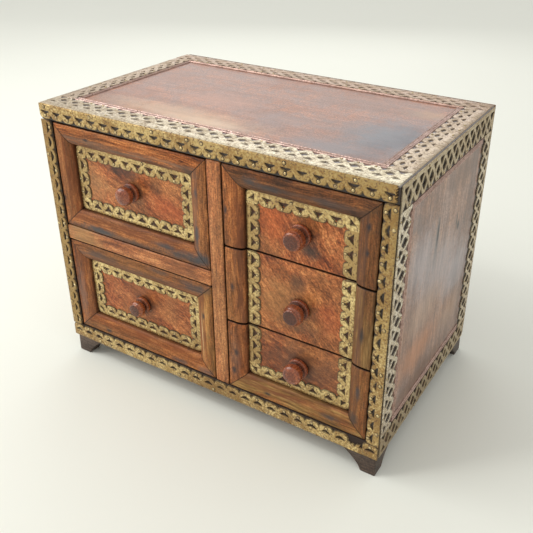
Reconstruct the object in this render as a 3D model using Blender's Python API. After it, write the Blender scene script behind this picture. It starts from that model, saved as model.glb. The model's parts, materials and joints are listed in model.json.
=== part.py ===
"""Tabletop chest of five drawers: a boarded hardwood case bound with pierced brass strips.

Metres, +Z up, the front faces -Y. The origin lies on the floor under the middle of the chest, knobs included.
"""
from dataclasses import dataclass
import math

import bmesh
import bpy
from mathutils import Vector

# Case boards and the bays between them
CASE_WIDTH = 0.400
CASE_DEPTH = 0.248
CASE_HEIGHT = 0.287
TOP_BOARD = 0.0165
BOTTOM_BOARD = 0.017
SIDE_BOARD = 0.0125
BACK_BOARD = 0.006
DIVIDER = 0.0165
LEFT_BAY_WIDTH = 0.1975
LEFT_RAIL = 0.0175
RIGHT_SHELF = 0.006
RAIL_EDGE_ROUND = 0.0012

# Drawer heights as shares of the case's clear height
LEFT_LOWER_SHARE = 0.4615
RIGHT_LOWER_SHARE = 0.3294
RIGHT_MIDDLE_SHARE = 0.3353

# Bracket feet
FOOT_HEIGHT = 0.024
FOOT_SPREAD = 0.040
FOOT_TOE = 0.014
FOOT_INSET = 0.001
FOOT_LEVELS = 6

# Fits between pieces
GLUE_LINE = 0.0003
RUNNING_GAP = 0.0015
LIFT_GAP = 0.002
SPLIT_GAP = 0.0018
REAR_GAP = 0.0008
BOX_HEADROOM = 0.004

# Drawer boards
FRONT_RECESS = 0.008
FRONT_BOARD = 0.010
DRAWER_SIDE = 0.008
DRAWER_BACK = 0.008
DRAWER_BOTTOM = 0.004

# Drawer moulding: flat outer part, then a quarter ellipse down to a thin lip
MOULDING_WIDTH = 0.021
MOULDING_FLAT = 0.009
MOULDING_LIP = 0.0024
MOULDING_EASE = 0.0008
MOULDING_STEPS = 5

# Turned knob
KNOB_LENGTH = 0.0205
KNOB_RING_LENGTH = 0.0062
KNOB_RING_DIAMETER = 0.0215
KNOB_RING_EDGE_DIAMETER = 0.0195
KNOB_NECK_DIAMETER = 0.0155
KNOB_BARREL_DIAMETER = 0.020
KNOB_FACE_DIAMETER = 0.014
KNOB_TENON_DIAMETER = 0.009
KNOB_TENON_SHORT = 0.002
KNOB_SIDES = 12
KNOB_BARREL_STEPS = 5
KNOB_RING_STEPS = 4
KNOB_CREASE_ANGLE = 35.0

# How far the knobs, set by eye, lie off the middle of their panels: outward in both columns, and down
LEFT_KNOB_ASIDE = 0.0018
RIGHT_KNOB_ASIDE = 0.0012
MIDDLE_KNOB_DROP = 0.005

# Brass sheet
BRASS = 0.0008
BORDER_WIDTH = 0.0145
BORDER_SETBACK = 0.0015

# Scalloped strip: a row of lobes, each pierced by a half-moon
SCALLOP_PITCH = 0.016
LOBE_DEPTH = 0.004
LOBE_STEPS = 4
MOON_WIDTH = 0.0105
MOON_DEPTH = 0.0042
MOON_TO_TIP = 0.0052
MOON_CROWN = 0.006

# Lattice strip: a solid band that carries a row of crossed bars
LATTICE_PITCH = 0.016
LATTICE_WIDTH = 0.027
LATTICE_END_WIDTH = 0.024
LATTICE_BAND = 0.0075
LATTICE_BAR = 0.003

# Largest distance between points that are one corner of a sheet
WELD = 1e-6


@dataclass(frozen=True)
class Finish:
    """Colour, roughness and metallic value of a material."""

    name: str
    colour: tuple
    roughness: float
    metallic: float


CASE_WOOD = Finish("case_wood", (0.230, 0.085, 0.038), 0.45, 0.0)
FRONT_WOOD = Finish("front_wood", (0.270, 0.095, 0.040), 0.50, 0.0)
INNER_WOOD = Finish("inner_wood", (0.330, 0.180, 0.090), 0.70, 0.0)
FOOT_WOOD = Finish("foot_wood", (0.070, 0.032, 0.020), 0.55, 0.0)
KNOB_WOOD = Finish("knob_wood", (0.200, 0.060, 0.028), 0.35, 0.0)
STRIP_BRASS = Finish("strip_brass", (0.520, 0.370, 0.130), 0.35, 1.0)
LATTICE_BRASS = Finish("lattice_brass", (0.560, 0.470, 0.300), 0.40, 1.0)


@dataclass(frozen=True)
class Bay:
    """The space of one drawer in the case's frame, its front's moulded sides, and its knob off the middle."""

    name: str
    left: float
    right: float
    floor: float
    roof: float
    front_low: float
    front_high: float
    moulded: tuple
    knob_aside: float
    knob_drop: float = 0.0


def clear_scene():
    """Remove every object of the scene."""
    for found in list(bpy.data.objects):
        bpy.data.objects.remove(found, do_unlink=True)


def material(name, finish):
    """A Principled material of one finish for one piece."""
    made = bpy.data.materials.new(name + "_" + finish.name)
    made.use_nodes = True
    shader = made.node_tree.nodes["Principled BSDF"]
    shader.inputs["Base Color"].default_value = (*finish.colour, 1.0)
    shader.inputs["Roughness"].default_value = finish.roughness
    shader.inputs["Metallic"].default_value = finish.metallic
    return made


def anchor(name, location, parent=None):
    """An empty that carries pieces."""
    empty = bpy.data.objects.new(name, None)
    bpy.context.collection.objects.link(empty)
    empty.location = location
    empty.parent = parent
    return empty


def piece(name, bm, finish, parent, location=(0.0, 0.0, 0.0), rotation=(0.0, 0.0, 0.0)):
    """Turn a bmesh into a named object of one finish, placed in its parent's frame."""
    mesh = bpy.data.meshes.new(name)
    bm.to_mesh(mesh)
    bm.free()
    made = bpy.data.objects.new(name, mesh)
    bpy.context.collection.objects.link(made)
    mesh.materials.append(material(name, finish))
    made.parent = parent
    made.location = location
    made.rotation_euler = rotation
    return made


def board(name, low, high, finish, parent):
    """A sawn board between two opposite corners in its parent's frame."""
    low, high = Vector(low), Vector(high)
    bm = bmesh.new()
    bmesh.ops.create_cube(bm, size=1.0)
    bmesh.ops.scale(bm, vec=high - low, verts=bm.verts)
    return piece(name, bm, finish, parent, (low + high) / 2)


def ease_edges(made, width):
    """Break a piece's sharp edges by a small bevel."""
    bevel = made.modifiers.new("eased_edges", "BEVEL")
    bevel.width = width
    bevel.segments = 1
    bevel.limit_method = "ANGLE"


class FretSheet:
    """A flat pierced sheet of brass, gathered outline by outline in its plane and thickened at the end."""

    def __init__(self):
        self.bm = bmesh.new()

    def outline(self, points, origin, along, inward):
        """Add a face whose points run along a strip and inward from its straight outer edge."""
        corners = [origin + along * s + inward * w for s, w in points]
        self.bm.faces.new([self.bm.verts.new((corner.x, corner.y, 0.0)) for corner in corners])

    def finish(self, name, finish, parent, location, rotation):
        """Weld the outlines, face them all outward and give the sheet its thickness."""
        bmesh.ops.remove_doubles(self.bm, verts=self.bm.verts, dist=WELD)
        self.bm.normal_update()
        for face in self.bm.faces:
            if face.normal.z < 0.0:
                face.normal_flip()
        made = piece(name, self.bm, finish, parent, location, rotation)
        sheet = made.modifiers.new("sheet_thickness", "SOLIDIFY")
        sheet.thickness = BRASS
        sheet.offset = 1.0
        return made


class Scallop:
    """The lobed pattern: a solid band, and round every half-moon an arch that ends in a lobe."""

    pitch = SCALLOP_PITCH

    @staticmethod
    def seam(width):
        """Distances from the outer edge where neighbouring lobes share a corner."""
        return [0.0, width - LOBE_DEPTH]

    @staticmethod
    def unit(pitch, width):
        """Outlines of one lobe: its band, then its arch."""
        notch = width - LOBE_DEPTH
        crown = width - MOON_TO_TIP
        chord = crown - MOON_DEPTH
        middle = pitch / 2
        moon_start, moon_end = (middle - MOON_WIDTH / 2, chord), (middle + MOON_WIDTH / 2, chord)
        moon_top = [(middle - MOON_CROWN / 2, crown), (middle + MOON_CROWN / 2, crown)]
        angles = [math.pi * step / LOBE_STEPS for step in range(1, LOBE_STEPS)]
        lobe = [(middle + middle * math.cos(angle), notch + LOBE_DEPTH * math.sin(angle)) for angle in angles]
        band = [(0.0, 0.0), (pitch, 0.0), (pitch, notch), moon_end, moon_start, (0.0, notch)]
        arch = [(0.0, notch), moon_start, *moon_top, moon_end, (pitch, notch), *lobe]
        return [band, arch]


class Lattice:
    """The crossed pattern: bars at one slope between the solid band and a toothed inner edge."""

    pitch = LATTICE_PITCH

    @staticmethod
    def diamond(pitch, width):
        """Height of the crossings, and the half width and half height of the diamonds between them."""
        run, rise = pitch / 2, (width - LATTICE_BAND) / 2
        slant = math.hypot(run, rise) * LATTICE_BAR / 2
        return LATTICE_BAND + rise, run - slant / rise, rise - slant / run

    @staticmethod
    def seam(width):
        """Distances from the outer edge where neighbouring crossings share a corner."""
        level, _, half_height = Lattice.diamond(LATTICE_PITCH, width)
        return [0.0, level - half_height, level + half_height, width]

    @staticmethod
    def unit(pitch, width):
        """Outline of one crossing with half a diamond on either side."""
        level, half_width, _ = Lattice.diamond(pitch, width)
        _, under, over, _ = Lattice.seam(width)
        valley = level + width - over
        return [[(0.0, 0.0), (pitch, 0.0), (pitch, under), (pitch - half_width, level), (pitch, over),
                 (pitch, width), (pitch / 2, valley), (0.0, width), (0.0, over), (half_width, level),
                 (0.0, under)]]


def fret_frame(pattern, width, height, strips):
    """Strips of one pattern along the named sides of a rectangle, tied by a solid plate at each corner."""
    sheet = FretSheet()
    left, right = strips.get("left", 0.0), strips.get("right", 0.0)
    bottom, top = strips.get("bottom", 0.0), strips.get("top", 0.0)
    x_axis, y_axis = Vector((1.0, 0.0)), Vector((0.0, 1.0))
    runs = [
        ("bottom", Vector((left, 0.0)), x_axis, y_axis, width - left - right),
        ("top", Vector((left, height)), x_axis, -y_axis, width - left - right),
        ("left", Vector((0.0, bottom)), y_axis, x_axis, height - bottom - top),
        ("right", Vector((width, bottom)), y_axis, -x_axis, height - bottom - top),
    ]
    for side, start, along, inward, length in runs:
        if side not in strips:
            continue
        count = max(1, round(length / pattern.pitch))
        for index in range(count):
            origin = start + along * (length * index / count)
            for outline in pattern.unit(length / count, strips[side]):
                sheet.outline(outline, origin, along, inward)
    plates = [
        ("left", "bottom", 0.0, 0.0, x_axis, y_axis),
        ("right", "bottom", width, 0.0, -x_axis, y_axis),
        ("left", "top", 0.0, height, x_axis, -y_axis),
        ("right", "top", width, height, -x_axis, -y_axis),
    ]
    for upright, level, x, y, along, inward in plates:
        if upright not in strips or level not in strips:
            continue
        wide, tall = strips[upright], strips[level]
        outline = [(0.0, 0.0)]
        outline += [(wide, seam) for seam in pattern.seam(tall) if seam < tall]
        outline += [(wide, tall)]
        outline += [(seam, tall) for seam in reversed(pattern.seam(wide)) if seam < wide]
        sheet.outline(outline, Vector((x, y)), along, inward)
    return sheet


# Faces of the case, seen from the front, that more than one board meets
INNER_LEFT = SIDE_BOARD - CASE_WIDTH / 2
INNER_RIGHT = CASE_WIDTH / 2 - SIDE_BOARD
DIVIDER_LEFT = INNER_LEFT + LEFT_BAY_WIDTH
DIVIDER_RIGHT = DIVIDER_LEFT + DIVIDER
ROOF = CASE_HEIGHT - TOP_BOARD
CLEAR_HEIGHT = ROOF - BOTTOM_BOARD
RAIL_LOW = BOTTOM_BOARD + CLEAR_HEIGHT * LEFT_LOWER_SHARE
RAIL_HIGH = RAIL_LOW + LEFT_RAIL
LOWER_SPLIT = BOTTOM_BOARD + CLEAR_HEIGHT * RIGHT_LOWER_SHARE
UPPER_SPLIT = LOWER_SPLIT + CLEAR_HEIGHT * RIGHT_MIDDLE_SHARE
CARCASS_DEPTH = CASE_DEPTH - BACK_BOARD - GLUE_LINE
FRONT_BACK = FRONT_RECESS + FRONT_BOARD


def build_case(case):
    """Boards of the case: x from its middle, y from its front, z from its underside."""
    half = CASE_WIDTH / 2
    seat, hung = BOTTOM_BOARD + GLUE_LINE, ROOF - GLUE_LINE
    board("top_board", (-half, 0, ROOF), (half, CARCASS_DEPTH, CASE_HEIGHT), CASE_WOOD, case)
    board("bottom_board", (-half, 0, 0), (half, CARCASS_DEPTH, BOTTOM_BOARD), CASE_WOOD, case)
    board("left_side", (-half, 0, seat), (INNER_LEFT, CARCASS_DEPTH, hung), CASE_WOOD, case)
    board("right_side", (INNER_RIGHT, 0, seat), (half, CARCASS_DEPTH, hung), CASE_WOOD, case)
    board("back_panel", (-half, CASE_DEPTH - BACK_BOARD, 0), (half, CASE_DEPTH, CASE_HEIGHT), CASE_WOOD, case)
    divider = board("centre_divider", (DIVIDER_LEFT, 0, seat), (DIVIDER_RIGHT, CARCASS_DEPTH, hung),
                    CASE_WOOD, case)
    rail = board("left_rail", (INNER_LEFT + GLUE_LINE, 0, RAIL_LOW),
                 (DIVIDER_LEFT - GLUE_LINE, CARCASS_DEPTH, RAIL_HIGH), CASE_WOOD, case)
    ease_edges(divider, RAIL_EDGE_ROUND)
    ease_edges(rail, RAIL_EDGE_ROUND)
    for name, split in (("right_shelf_lower", LOWER_SPLIT), ("right_shelf_upper", UPPER_SPLIT)):
        board(name, (DIVIDER_RIGHT + GLUE_LINE, FRONT_BACK + GLUE_LINE, split - RIGHT_SHELF / 2),
              (INNER_RIGHT - GLUE_LINE, CARCASS_DEPTH, split + RIGHT_SHELF / 2), INNER_WOOD, case)


def build_case_brass(case):
    """Scalloped strips on the front edges, lattice strips round the top and the two sides."""
    half = CASE_WIDTH / 2
    front = fret_frame(Scallop, CASE_WIDTH, CASE_HEIGHT, {
        "left": SIDE_BOARD, "right": SIDE_BOARD, "bottom": BOTTOM_BOARD, "top": TOP_BOARD})
    front.finish("brass_front_frame", STRIP_BRASS, case, (-half, -GLUE_LINE, 0), (math.pi / 2, 0, 0))
    top = fret_frame(Lattice, CASE_WIDTH, CARCASS_DEPTH, {
        "left": LATTICE_END_WIDTH, "right": LATTICE_END_WIDTH, "bottom": LATTICE_WIDTH, "top": LATTICE_WIDTH})
    top.finish("brass_top_frame", LATTICE_BRASS, case, (-half, 0, CASE_HEIGHT + GLUE_LINE), (0, 0, 0))
    for name, x, y, turn in (("brass_right_frame", half + GLUE_LINE, 0.0, math.pi / 2),
                             ("brass_left_frame", -half - GLUE_LINE, CARCASS_DEPTH, -math.pi / 2)):
        side = fret_frame(Lattice, CARCASS_DEPTH, CASE_HEIGHT, {
            "left": LATTICE_WIDTH, "right": LATTICE_WIDTH, "bottom": LATTICE_WIDTH, "top": LATTICE_WIDTH})
        side.finish(name, LATTICE_BRASS, case, (x, y, 0), (math.pi / 2, 0, turn))


def build_feet(case):
    """Bracket feet: squares on the case's corners that shrink downward along a parabola."""
    height = FOOT_HEIGHT - GLUE_LINE
    for name, x_side, y_side in (("foot_front_left", -1, 0), ("foot_front_right", 1, 0),
                                 ("foot_rear_left", -1, 1), ("foot_rear_right", 1, 1)):
        bm = bmesh.new()
        rings = []
        for level in range(FOOT_LEVELS):
            share = level / (FOOT_LEVELS - 1)
            side = FOOT_TOE + (FOOT_SPREAD - FOOT_TOE) * share ** 2
            flat = ((0, 0), (side, 0), (side, side), (0, side))
            rings.append([bm.verts.new((-x * x_side, y if y_side == 0 else -y, height * share))
                          for x, y in flat])
        for lower, upper in zip(rings, rings[1:]):
            for index in range(4):
                after = (index + 1) % 4
                bm.faces.new((lower[index], lower[after], upper[after], upper[index]))
        bm.faces.new(rings[0])
        bm.faces.new(rings[-1])
        bmesh.ops.recalc_face_normals(bm, faces=bm.faces)
        x = x_side * (CASE_WIDTH / 2 - FOOT_INSET)
        y = FOOT_INSET if y_side == 0 else CASE_DEPTH - FOOT_INSET
        piece(name, bm, FOOT_WOOD, case, (x, y, -FOOT_HEIGHT))


def drawer_bays():
    """The five bays, from the case's faces."""
    rest = SPLIT_GAP / 2
    whole = ("left", "top", "right", "bottom")
    left, right = (INNER_LEFT, DIVIDER_LEFT), (DIVIDER_RIGHT, INNER_RIGHT)
    shelf = RIGHT_SHELF / 2
    return [
        Bay("left_upper", *left, RAIL_HIGH, ROOF, RAIL_HIGH + rest, ROOF - LIFT_GAP, whole,
            -LEFT_KNOB_ASIDE),
        Bay("left_lower", *left, BOTTOM_BOARD, RAIL_LOW, BOTTOM_BOARD + rest, RAIL_LOW - LIFT_GAP, whole,
            -LEFT_KNOB_ASIDE),
        Bay("right_upper", *right, UPPER_SPLIT + shelf, ROOF, UPPER_SPLIT + rest, ROOF - LIFT_GAP,
            ("left", "top", "right"), RIGHT_KNOB_ASIDE),
        Bay("right_middle", *right, LOWER_SPLIT + shelf, UPPER_SPLIT - shelf, LOWER_SPLIT + rest,
            UPPER_SPLIT - rest, ("left", "right"), RIGHT_KNOB_ASIDE, MIDDLE_KNOB_DROP),
        Bay("right_lower", *right, BOTTOM_BOARD, LOWER_SPLIT - shelf, BOTTOM_BOARD + rest,
            LOWER_SPLIT - rest, ("left", "bottom", "right"), RIGHT_KNOB_ASIDE),
    ]


def moulding_profile():
    """Section of the moulding: distance inward from its outer edge, height above the front panel."""
    crown = FRONT_RECESS - GLUE_LINE
    angles = [math.pi / 2 * step / MOULDING_STEPS for step in range(MOULDING_STEPS + 1)]
    round_part = [(MOULDING_FLAT + (MOULDING_WIDTH - MOULDING_FLAT) * math.sin(angle),
                   MOULDING_LIP + (crown - MOULDING_LIP) * math.cos(angle)) for angle in angles]
    outer_edge = [(0.0, 0.0), (0.0, crown - MOULDING_EASE), (MOULDING_EASE, crown)]
    return [*outer_edge, *round_part, (MOULDING_WIDTH, 0.0)]


def build_moulding(name, stations, closed, drawer):
    """Carry the moulding's section through its stations, each a corner and the way inward from it."""
    bm = bmesh.new()
    face_plane = FRONT_RECESS - GLUE_LINE
    section = moulding_profile()
    rings = [[bm.verts.new((x + inward_x * u, face_plane - t, z + inward_z * u)) for u, t in section]
             for x, z, inward_x, inward_z in stations]
    following = rings[1:] + rings[:1] if closed else rings[1:]
    for ring, after in zip(rings, following):
        for index in range(len(ring)):
            turn = (index + 1) % len(ring)
            bm.faces.new((ring[index], ring[turn], after[turn], after[index]))
    if not closed:
        bm.faces.new(rings[0])
        bm.faces.new(rings[-1])
    bmesh.ops.recalc_face_normals(bm, faces=bm.faces)
    piece(name, bm, FRONT_WOOD, drawer)


def build_mouldings(bay, half_width, half_height, drawer):
    """The mitred moulding of one drawer front, in as many lengths as its moulded sides make."""
    up = -1 if "top" in bay.moulded else 0
    down = 1 if "bottom" in bay.moulded else 0
    low_left, high_left = (-half_width, -half_height, 1, down), (-half_width, half_height, 1, up)
    high_right, low_right = (half_width, half_height, -1, up), (half_width, -half_height, -1, down)
    name = bay.name + "_moulding"
    if up and down:
        build_moulding(name, [low_left, high_left, high_right, low_right], True, drawer)
    elif up:
        build_moulding(name, [low_left, high_left, high_right, low_right], False, drawer)
    elif down:
        build_moulding(name, [high_left, low_left, low_right, high_right], False, drawer)
    else:
        build_moulding(name + "_left", [low_left, high_left], False, drawer)
        build_moulding(name + "_right", [high_right, low_right], False, drawer)


def build_border(bay, half_width, half_height, drawer):
    """The scalloped brass border that lies on the front panel just inside the moulding."""
    inset = MOULDING_WIDTH + BORDER_SETBACK
    x = half_width - inset
    low = -half_height + (inset if "bottom" in bay.moulded else GLUE_LINE)
    high = half_height - (inset if "top" in bay.moulded else GLUE_LINE)
    plane = FRONT_RECESS - GLUE_LINE
    upright = (math.pi / 2, 0, 0)
    name = bay.name + "_brass_border"
    if len(bay.moulded) > 2:
        sheet = fret_frame(Scallop, 2 * x, high - low, {side: BORDER_WIDTH for side in bay.moulded})
        sheet.finish(name, STRIP_BRASS, drawer, (-x, plane, low), upright)
        return
    for side, start in (("left", -x), ("right", x - BORDER_WIDTH)):
        sheet = fret_frame(Scallop, BORDER_WIDTH, high - low, {side: BORDER_WIDTH})
        sheet.finish(name + "_" + side, STRIP_BRASS, drawer, (start, plane, low), upright)


def knob_profile():
    """Turned outline of the knob from tenon to face: distance out from the front panel, then radius."""
    tenon, neck, face = KNOB_TENON_DIAMETER / 2, KNOB_NECK_DIAMETER / 2, KNOB_FACE_DIAMETER / 2
    ring, ring_edge = KNOB_RING_DIAMETER / 2, KNOB_RING_EDGE_DIAMETER / 2
    tenon_end = KNOB_TENON_SHORT - FRONT_BOARD
    outline = [(tenon_end, 0.0), (tenon_end, tenon), (GLUE_LINE, tenon)]
    for step in range(KNOB_RING_STEPS + 1):
        angle = math.pi * step / KNOB_RING_STEPS
        outline.append((GLUE_LINE + (KNOB_RING_LENGTH - GLUE_LINE) * (1 - math.cos(angle)) / 2,
                        ring_edge + (ring - ring_edge) * math.sin(angle)))
    swell = KNOB_BARREL_DIAMETER / 2 - (neck + face) / 2
    for step in range(KNOB_BARREL_STEPS + 1):
        share = step / KNOB_BARREL_STEPS
        outline.append((KNOB_RING_LENGTH + (KNOB_LENGTH - KNOB_RING_LENGTH) * share,
                        neck + (face - neck) * share + swell * 4 * share * (1 - share)))
    outline.append((KNOB_LENGTH, 0.0))
    return outline


def build_knob(bay, height, drawer):
    """Turn the knob about its axis, which runs straight out of the front panel."""
    bm = bmesh.new()
    verts = [bm.verts.new((radius, -out, 0.0)) for out, radius in knob_profile()]
    edges = [bm.edges.new(pair) for pair in zip(verts, verts[1:])]
    bmesh.ops.spin(bm, geom=verts + edges, axis=(0, 1, 0), cent=(0, 0, 0), angle=2 * math.pi,
                   steps=KNOB_SIDES)
    bmesh.ops.remove_doubles(bm, verts=bm.verts, dist=WELD)
    bmesh.ops.recalc_face_normals(bm, faces=bm.faces)
    made = piece(bay.name + "_knob", bm, KNOB_WOOD, drawer, (bay.knob_aside, FRONT_RECESS, height))
    made.data.shade_smooth()
    made.data.set_sharp_from_angle(angle=math.radians(KNOB_CREASE_ANGLE))


def build_front_panel(bay, half_width, half_height, knob_height, drawer):
    """The front board, bored through for the knob's tenon."""
    bm = bmesh.new()
    corners = [(-half_width, -half_height), (half_width, -half_height), (half_width, half_height),
               (-half_width, half_height)]
    radius = KNOB_TENON_DIAMETER / 2 + GLUE_LINE
    turns = [2 * math.pi * step / KNOB_SIDES for step in range(KNOB_SIDES)]
    bore = [(bay.knob_aside + radius * math.cos(turn), knob_height + radius * math.sin(turn))
            for turn in turns]
    edges = []
    for loop in (corners, bore):
        verts = [bm.verts.new((x, 0.0, z)) for x, z in loop]
        edges += [bm.edges.new(pair) for pair in zip(verts, verts[1:] + verts[:1])]
    bmesh.ops.triangle_fill(bm, use_beauty=True, use_dissolve=False, edges=edges)
    bm.normal_update()
    for face in bm.faces:
        if face.normal.y > 0.0:
            face.normal_flip()
    made = piece(bay.name + "_front_panel", bm, FRONT_WOOD, drawer, (0.0, FRONT_RECESS, 0.0))
    thickness = made.modifiers.new("board_thickness", "SOLIDIFY")
    thickness.thickness = FRONT_BOARD
    thickness.offset = -1.0


def build_drawer(bay, case):
    """One drawer about its own slide axis: front, box, moulding, brass border and knob."""
    middle = (bay.front_low + bay.front_high) / 2
    drawer = anchor(bay.name + "_slide", ((bay.left + bay.right) / 2, 0.0, middle), case)
    half_width = (bay.right - bay.left) / 2 - RUNNING_GAP
    half_height = (bay.front_high - bay.front_low) / 2
    lifted = MOULDING_WIDTH / 2
    knob_height = (lifted if "bottom" in bay.moulded else 0.0) - (lifted if "top" in bay.moulded else 0.0)
    knob_height -= bay.knob_drop
    build_front_panel(bay, half_width, half_height, knob_height, drawer)
    build_mouldings(bay, half_width, half_height, drawer)
    build_border(bay, half_width, half_height, drawer)
    build_knob(bay, knob_height, drawer)
    front, rear = FRONT_BACK + GLUE_LINE, CASE_DEPTH - BACK_BOARD - REAR_GAP
    low = bay.floor - middle + GLUE_LINE
    wall_low, wall_high = low + DRAWER_BOTTOM + GLUE_LINE, bay.roof - middle - BOX_HEADROOM
    inner = half_width - DRAWER_SIDE
    board(bay.name + "_bottom", (-half_width, front, low), (half_width, rear, low + DRAWER_BOTTOM),
          INNER_WOOD, drawer)
    board(bay.name + "_left_side", (-half_width, front, wall_low), (-inner, rear, wall_high),
          INNER_WOOD, drawer)
    board(bay.name + "_right_side", (inner, front, wall_low), (half_width, rear, wall_high),
          INNER_WOOD, drawer)
    board(bay.name + "_back", (GLUE_LINE - inner, rear - DRAWER_BACK, wall_low),
          (inner - GLUE_LINE, rear, wall_high), INNER_WOOD, drawer)


def main():
    """Build the chest with its knobs and back panel equally far from the origin."""
    clear_scene()
    knob_reach = KNOB_LENGTH - FRONT_RECESS
    case = anchor("case", (0.0, (knob_reach - CASE_DEPTH) / 2, FOOT_HEIGHT))
    build_case(case)
    build_case_brass(case)
    build_feet(case)
    for bay in drawer_bays():
        build_drawer(bay, case)


main()
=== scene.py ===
"""Tabletop chest of five drawers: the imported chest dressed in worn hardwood, pierced brass and copper bead.

Metres, +Z up, the front faces -Y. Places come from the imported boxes; new shapes are worked out as arrays.
"""
from dataclasses import dataclass, field, replace
from enum import Enum
from itertools import product
import json
import logging
import math
from typing import Any, Optional, Sequence

import bpy
import numpy as np
from mathutils import Matrix, Vector

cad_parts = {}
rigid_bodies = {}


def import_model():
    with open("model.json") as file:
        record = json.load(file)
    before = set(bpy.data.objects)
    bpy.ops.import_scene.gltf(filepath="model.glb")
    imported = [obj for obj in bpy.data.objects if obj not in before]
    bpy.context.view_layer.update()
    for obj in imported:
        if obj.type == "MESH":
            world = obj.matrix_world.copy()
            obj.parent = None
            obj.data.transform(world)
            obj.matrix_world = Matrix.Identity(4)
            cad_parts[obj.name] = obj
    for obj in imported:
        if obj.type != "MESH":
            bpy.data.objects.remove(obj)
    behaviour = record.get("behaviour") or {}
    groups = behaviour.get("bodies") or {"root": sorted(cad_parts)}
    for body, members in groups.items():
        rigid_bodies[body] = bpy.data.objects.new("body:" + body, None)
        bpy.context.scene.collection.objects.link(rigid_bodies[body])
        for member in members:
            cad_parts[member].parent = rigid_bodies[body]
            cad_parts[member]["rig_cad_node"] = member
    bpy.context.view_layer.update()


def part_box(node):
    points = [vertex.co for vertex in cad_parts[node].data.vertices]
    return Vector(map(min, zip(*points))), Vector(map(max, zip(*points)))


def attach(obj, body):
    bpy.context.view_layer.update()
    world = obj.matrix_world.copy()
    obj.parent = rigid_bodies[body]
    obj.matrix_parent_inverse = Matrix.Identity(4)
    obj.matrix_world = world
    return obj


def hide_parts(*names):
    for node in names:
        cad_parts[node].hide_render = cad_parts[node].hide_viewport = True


LOG = logging.getLogger("chest")
Array = np.ndarray
Colour = tuple[float, float, float]
Triple = tuple[float, float, float]
Socket = bpy.types.NodeSocket
RIGHTWARD, LEFTWARD = (1.0, 0.0, 0.0), (-1.0, 0.0, 0.0)
BACKWARD, FORWARD = (0.0, 1.0, 0.0), (0.0, -1.0, 0.0)
UPWARD, DOWNWARD = (0.0, 0.0, 1.0), (0.0, 0.0, -1.0)
FAR = 9.0
# Near-black painted shade for the gaps round the fronts, the rails and the divider.
GAP_SHADE = (0.01, 0.006, 0.004)


class Grain(Enum):
    """The way a board's grain runs, as the turn that lays it along a pattern's X."""

    ALONG_X = (0.0, 0.0, 0.0)
    ALONG_Y = (0.0, 0.0, -math.pi / 2)
    ALONG_Z = (0.0, math.pi / 2, 0.0)


class Side(Enum):
    """A side of a rectangle that is seen from its front."""

    LEFT = "left"
    TOP = "top"
    RIGHT = "right"
    BOTTOM = "bottom"


@dataclass
class Surface:
    """Points, four-cornered faces and named per-point values of one or more shells."""

    points: Array
    faces: Array
    values: dict[str, Array] = field(default_factory=dict)

    @classmethod
    def grid(cls, points: Array, flip: bool = False, **values: Any) -> "Surface":
        """Join neighbouring rows and columns of one or more grids by faces.

        Args:
            points: Last three axes are row, column and coordinate; earlier axes stack grids.
            flip: Turn the faces round; unflipped they face column step times row step.
            values: Named values that fit the grid, or one number for all of it.

        Returns:
            The surface of all grids.
        """
        shape = points.shape[:-1]
        index = np.arange(int(np.prod(shape))).reshape((-1, *shape[-2:]))
        corners = [index[:, :-1, :-1], index[:, :-1, 1:], index[:, 1:, 1:], index[:, 1:, :-1]]
        faces = np.stack(corners, axis=-1).reshape(-1, 4)
        flat = {name: np.broadcast_to(value, shape).reshape(-1) for name, value in values.items()}
        return cls(points.reshape(-1, 3), faces[:, ::-1] if flip else faces, flat)

    @classmethod
    def join(cls, parts: Sequence["Surface"]) -> "Surface":
        """Put surfaces into one; a value that a part lacks is nought there."""
        names = sorted({name for part in parts for name in part.values})
        starts = np.cumsum([0] + [len(part.points) for part in parts])
        values = {name: np.concatenate([part.values.get(name, np.zeros(len(part.points))) for part in parts])
                  for name in names}
        return cls(np.concatenate([part.points for part in parts]),
                   np.concatenate([part.faces + start for part, start in zip(parts, starts)]), values)

    def welded(self, distance: float = 1e-6) -> "Surface":
        """Merge points that lie on one another."""
        keys = np.round(self.points / distance).astype(np.int64)
        _, first, inverse = np.unique(keys, axis=0, return_index=True, return_inverse=True)
        values = {name: value[first] for name, value in self.values.items()}
        return Surface(self.points[first], inverse.reshape(-1)[self.faces], values)

    def mesh(self, name: str) -> bpy.types.Mesh:
        """Write the surface into a mesh without the faces that have shrunk to a line; values become attributes."""
        distinct = self.faces != np.roll(self.faces, -1, axis=1)
        totals = distinct.sum(axis=1)
        solid = totals >= 3
        corners = self.faces[solid][distinct[solid]]
        starts = np.concatenate(([0], np.cumsum(totals[solid])[:-1]))
        mesh = bpy.data.meshes.new(name)
        mesh.vertices.add(len(self.points))
        mesh.vertices.foreach_set("co", self.points.astype(np.float32).ravel())
        mesh.loops.add(len(corners))
        mesh.loops.foreach_set("vertex_index", corners.astype(np.int32))
        mesh.polygons.add(len(starts))
        mesh.polygons.foreach_set("loop_start", starts.astype(np.int32))
        for value_name, value in self.values.items():
            attribute = mesh.attributes.new(value_name, "FLOAT", "POINT")
            attribute.data.foreach_set("value", value.astype(np.float32))
        mesh.update(calc_edges=True)
        mesh.validate()
        return mesh


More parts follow.
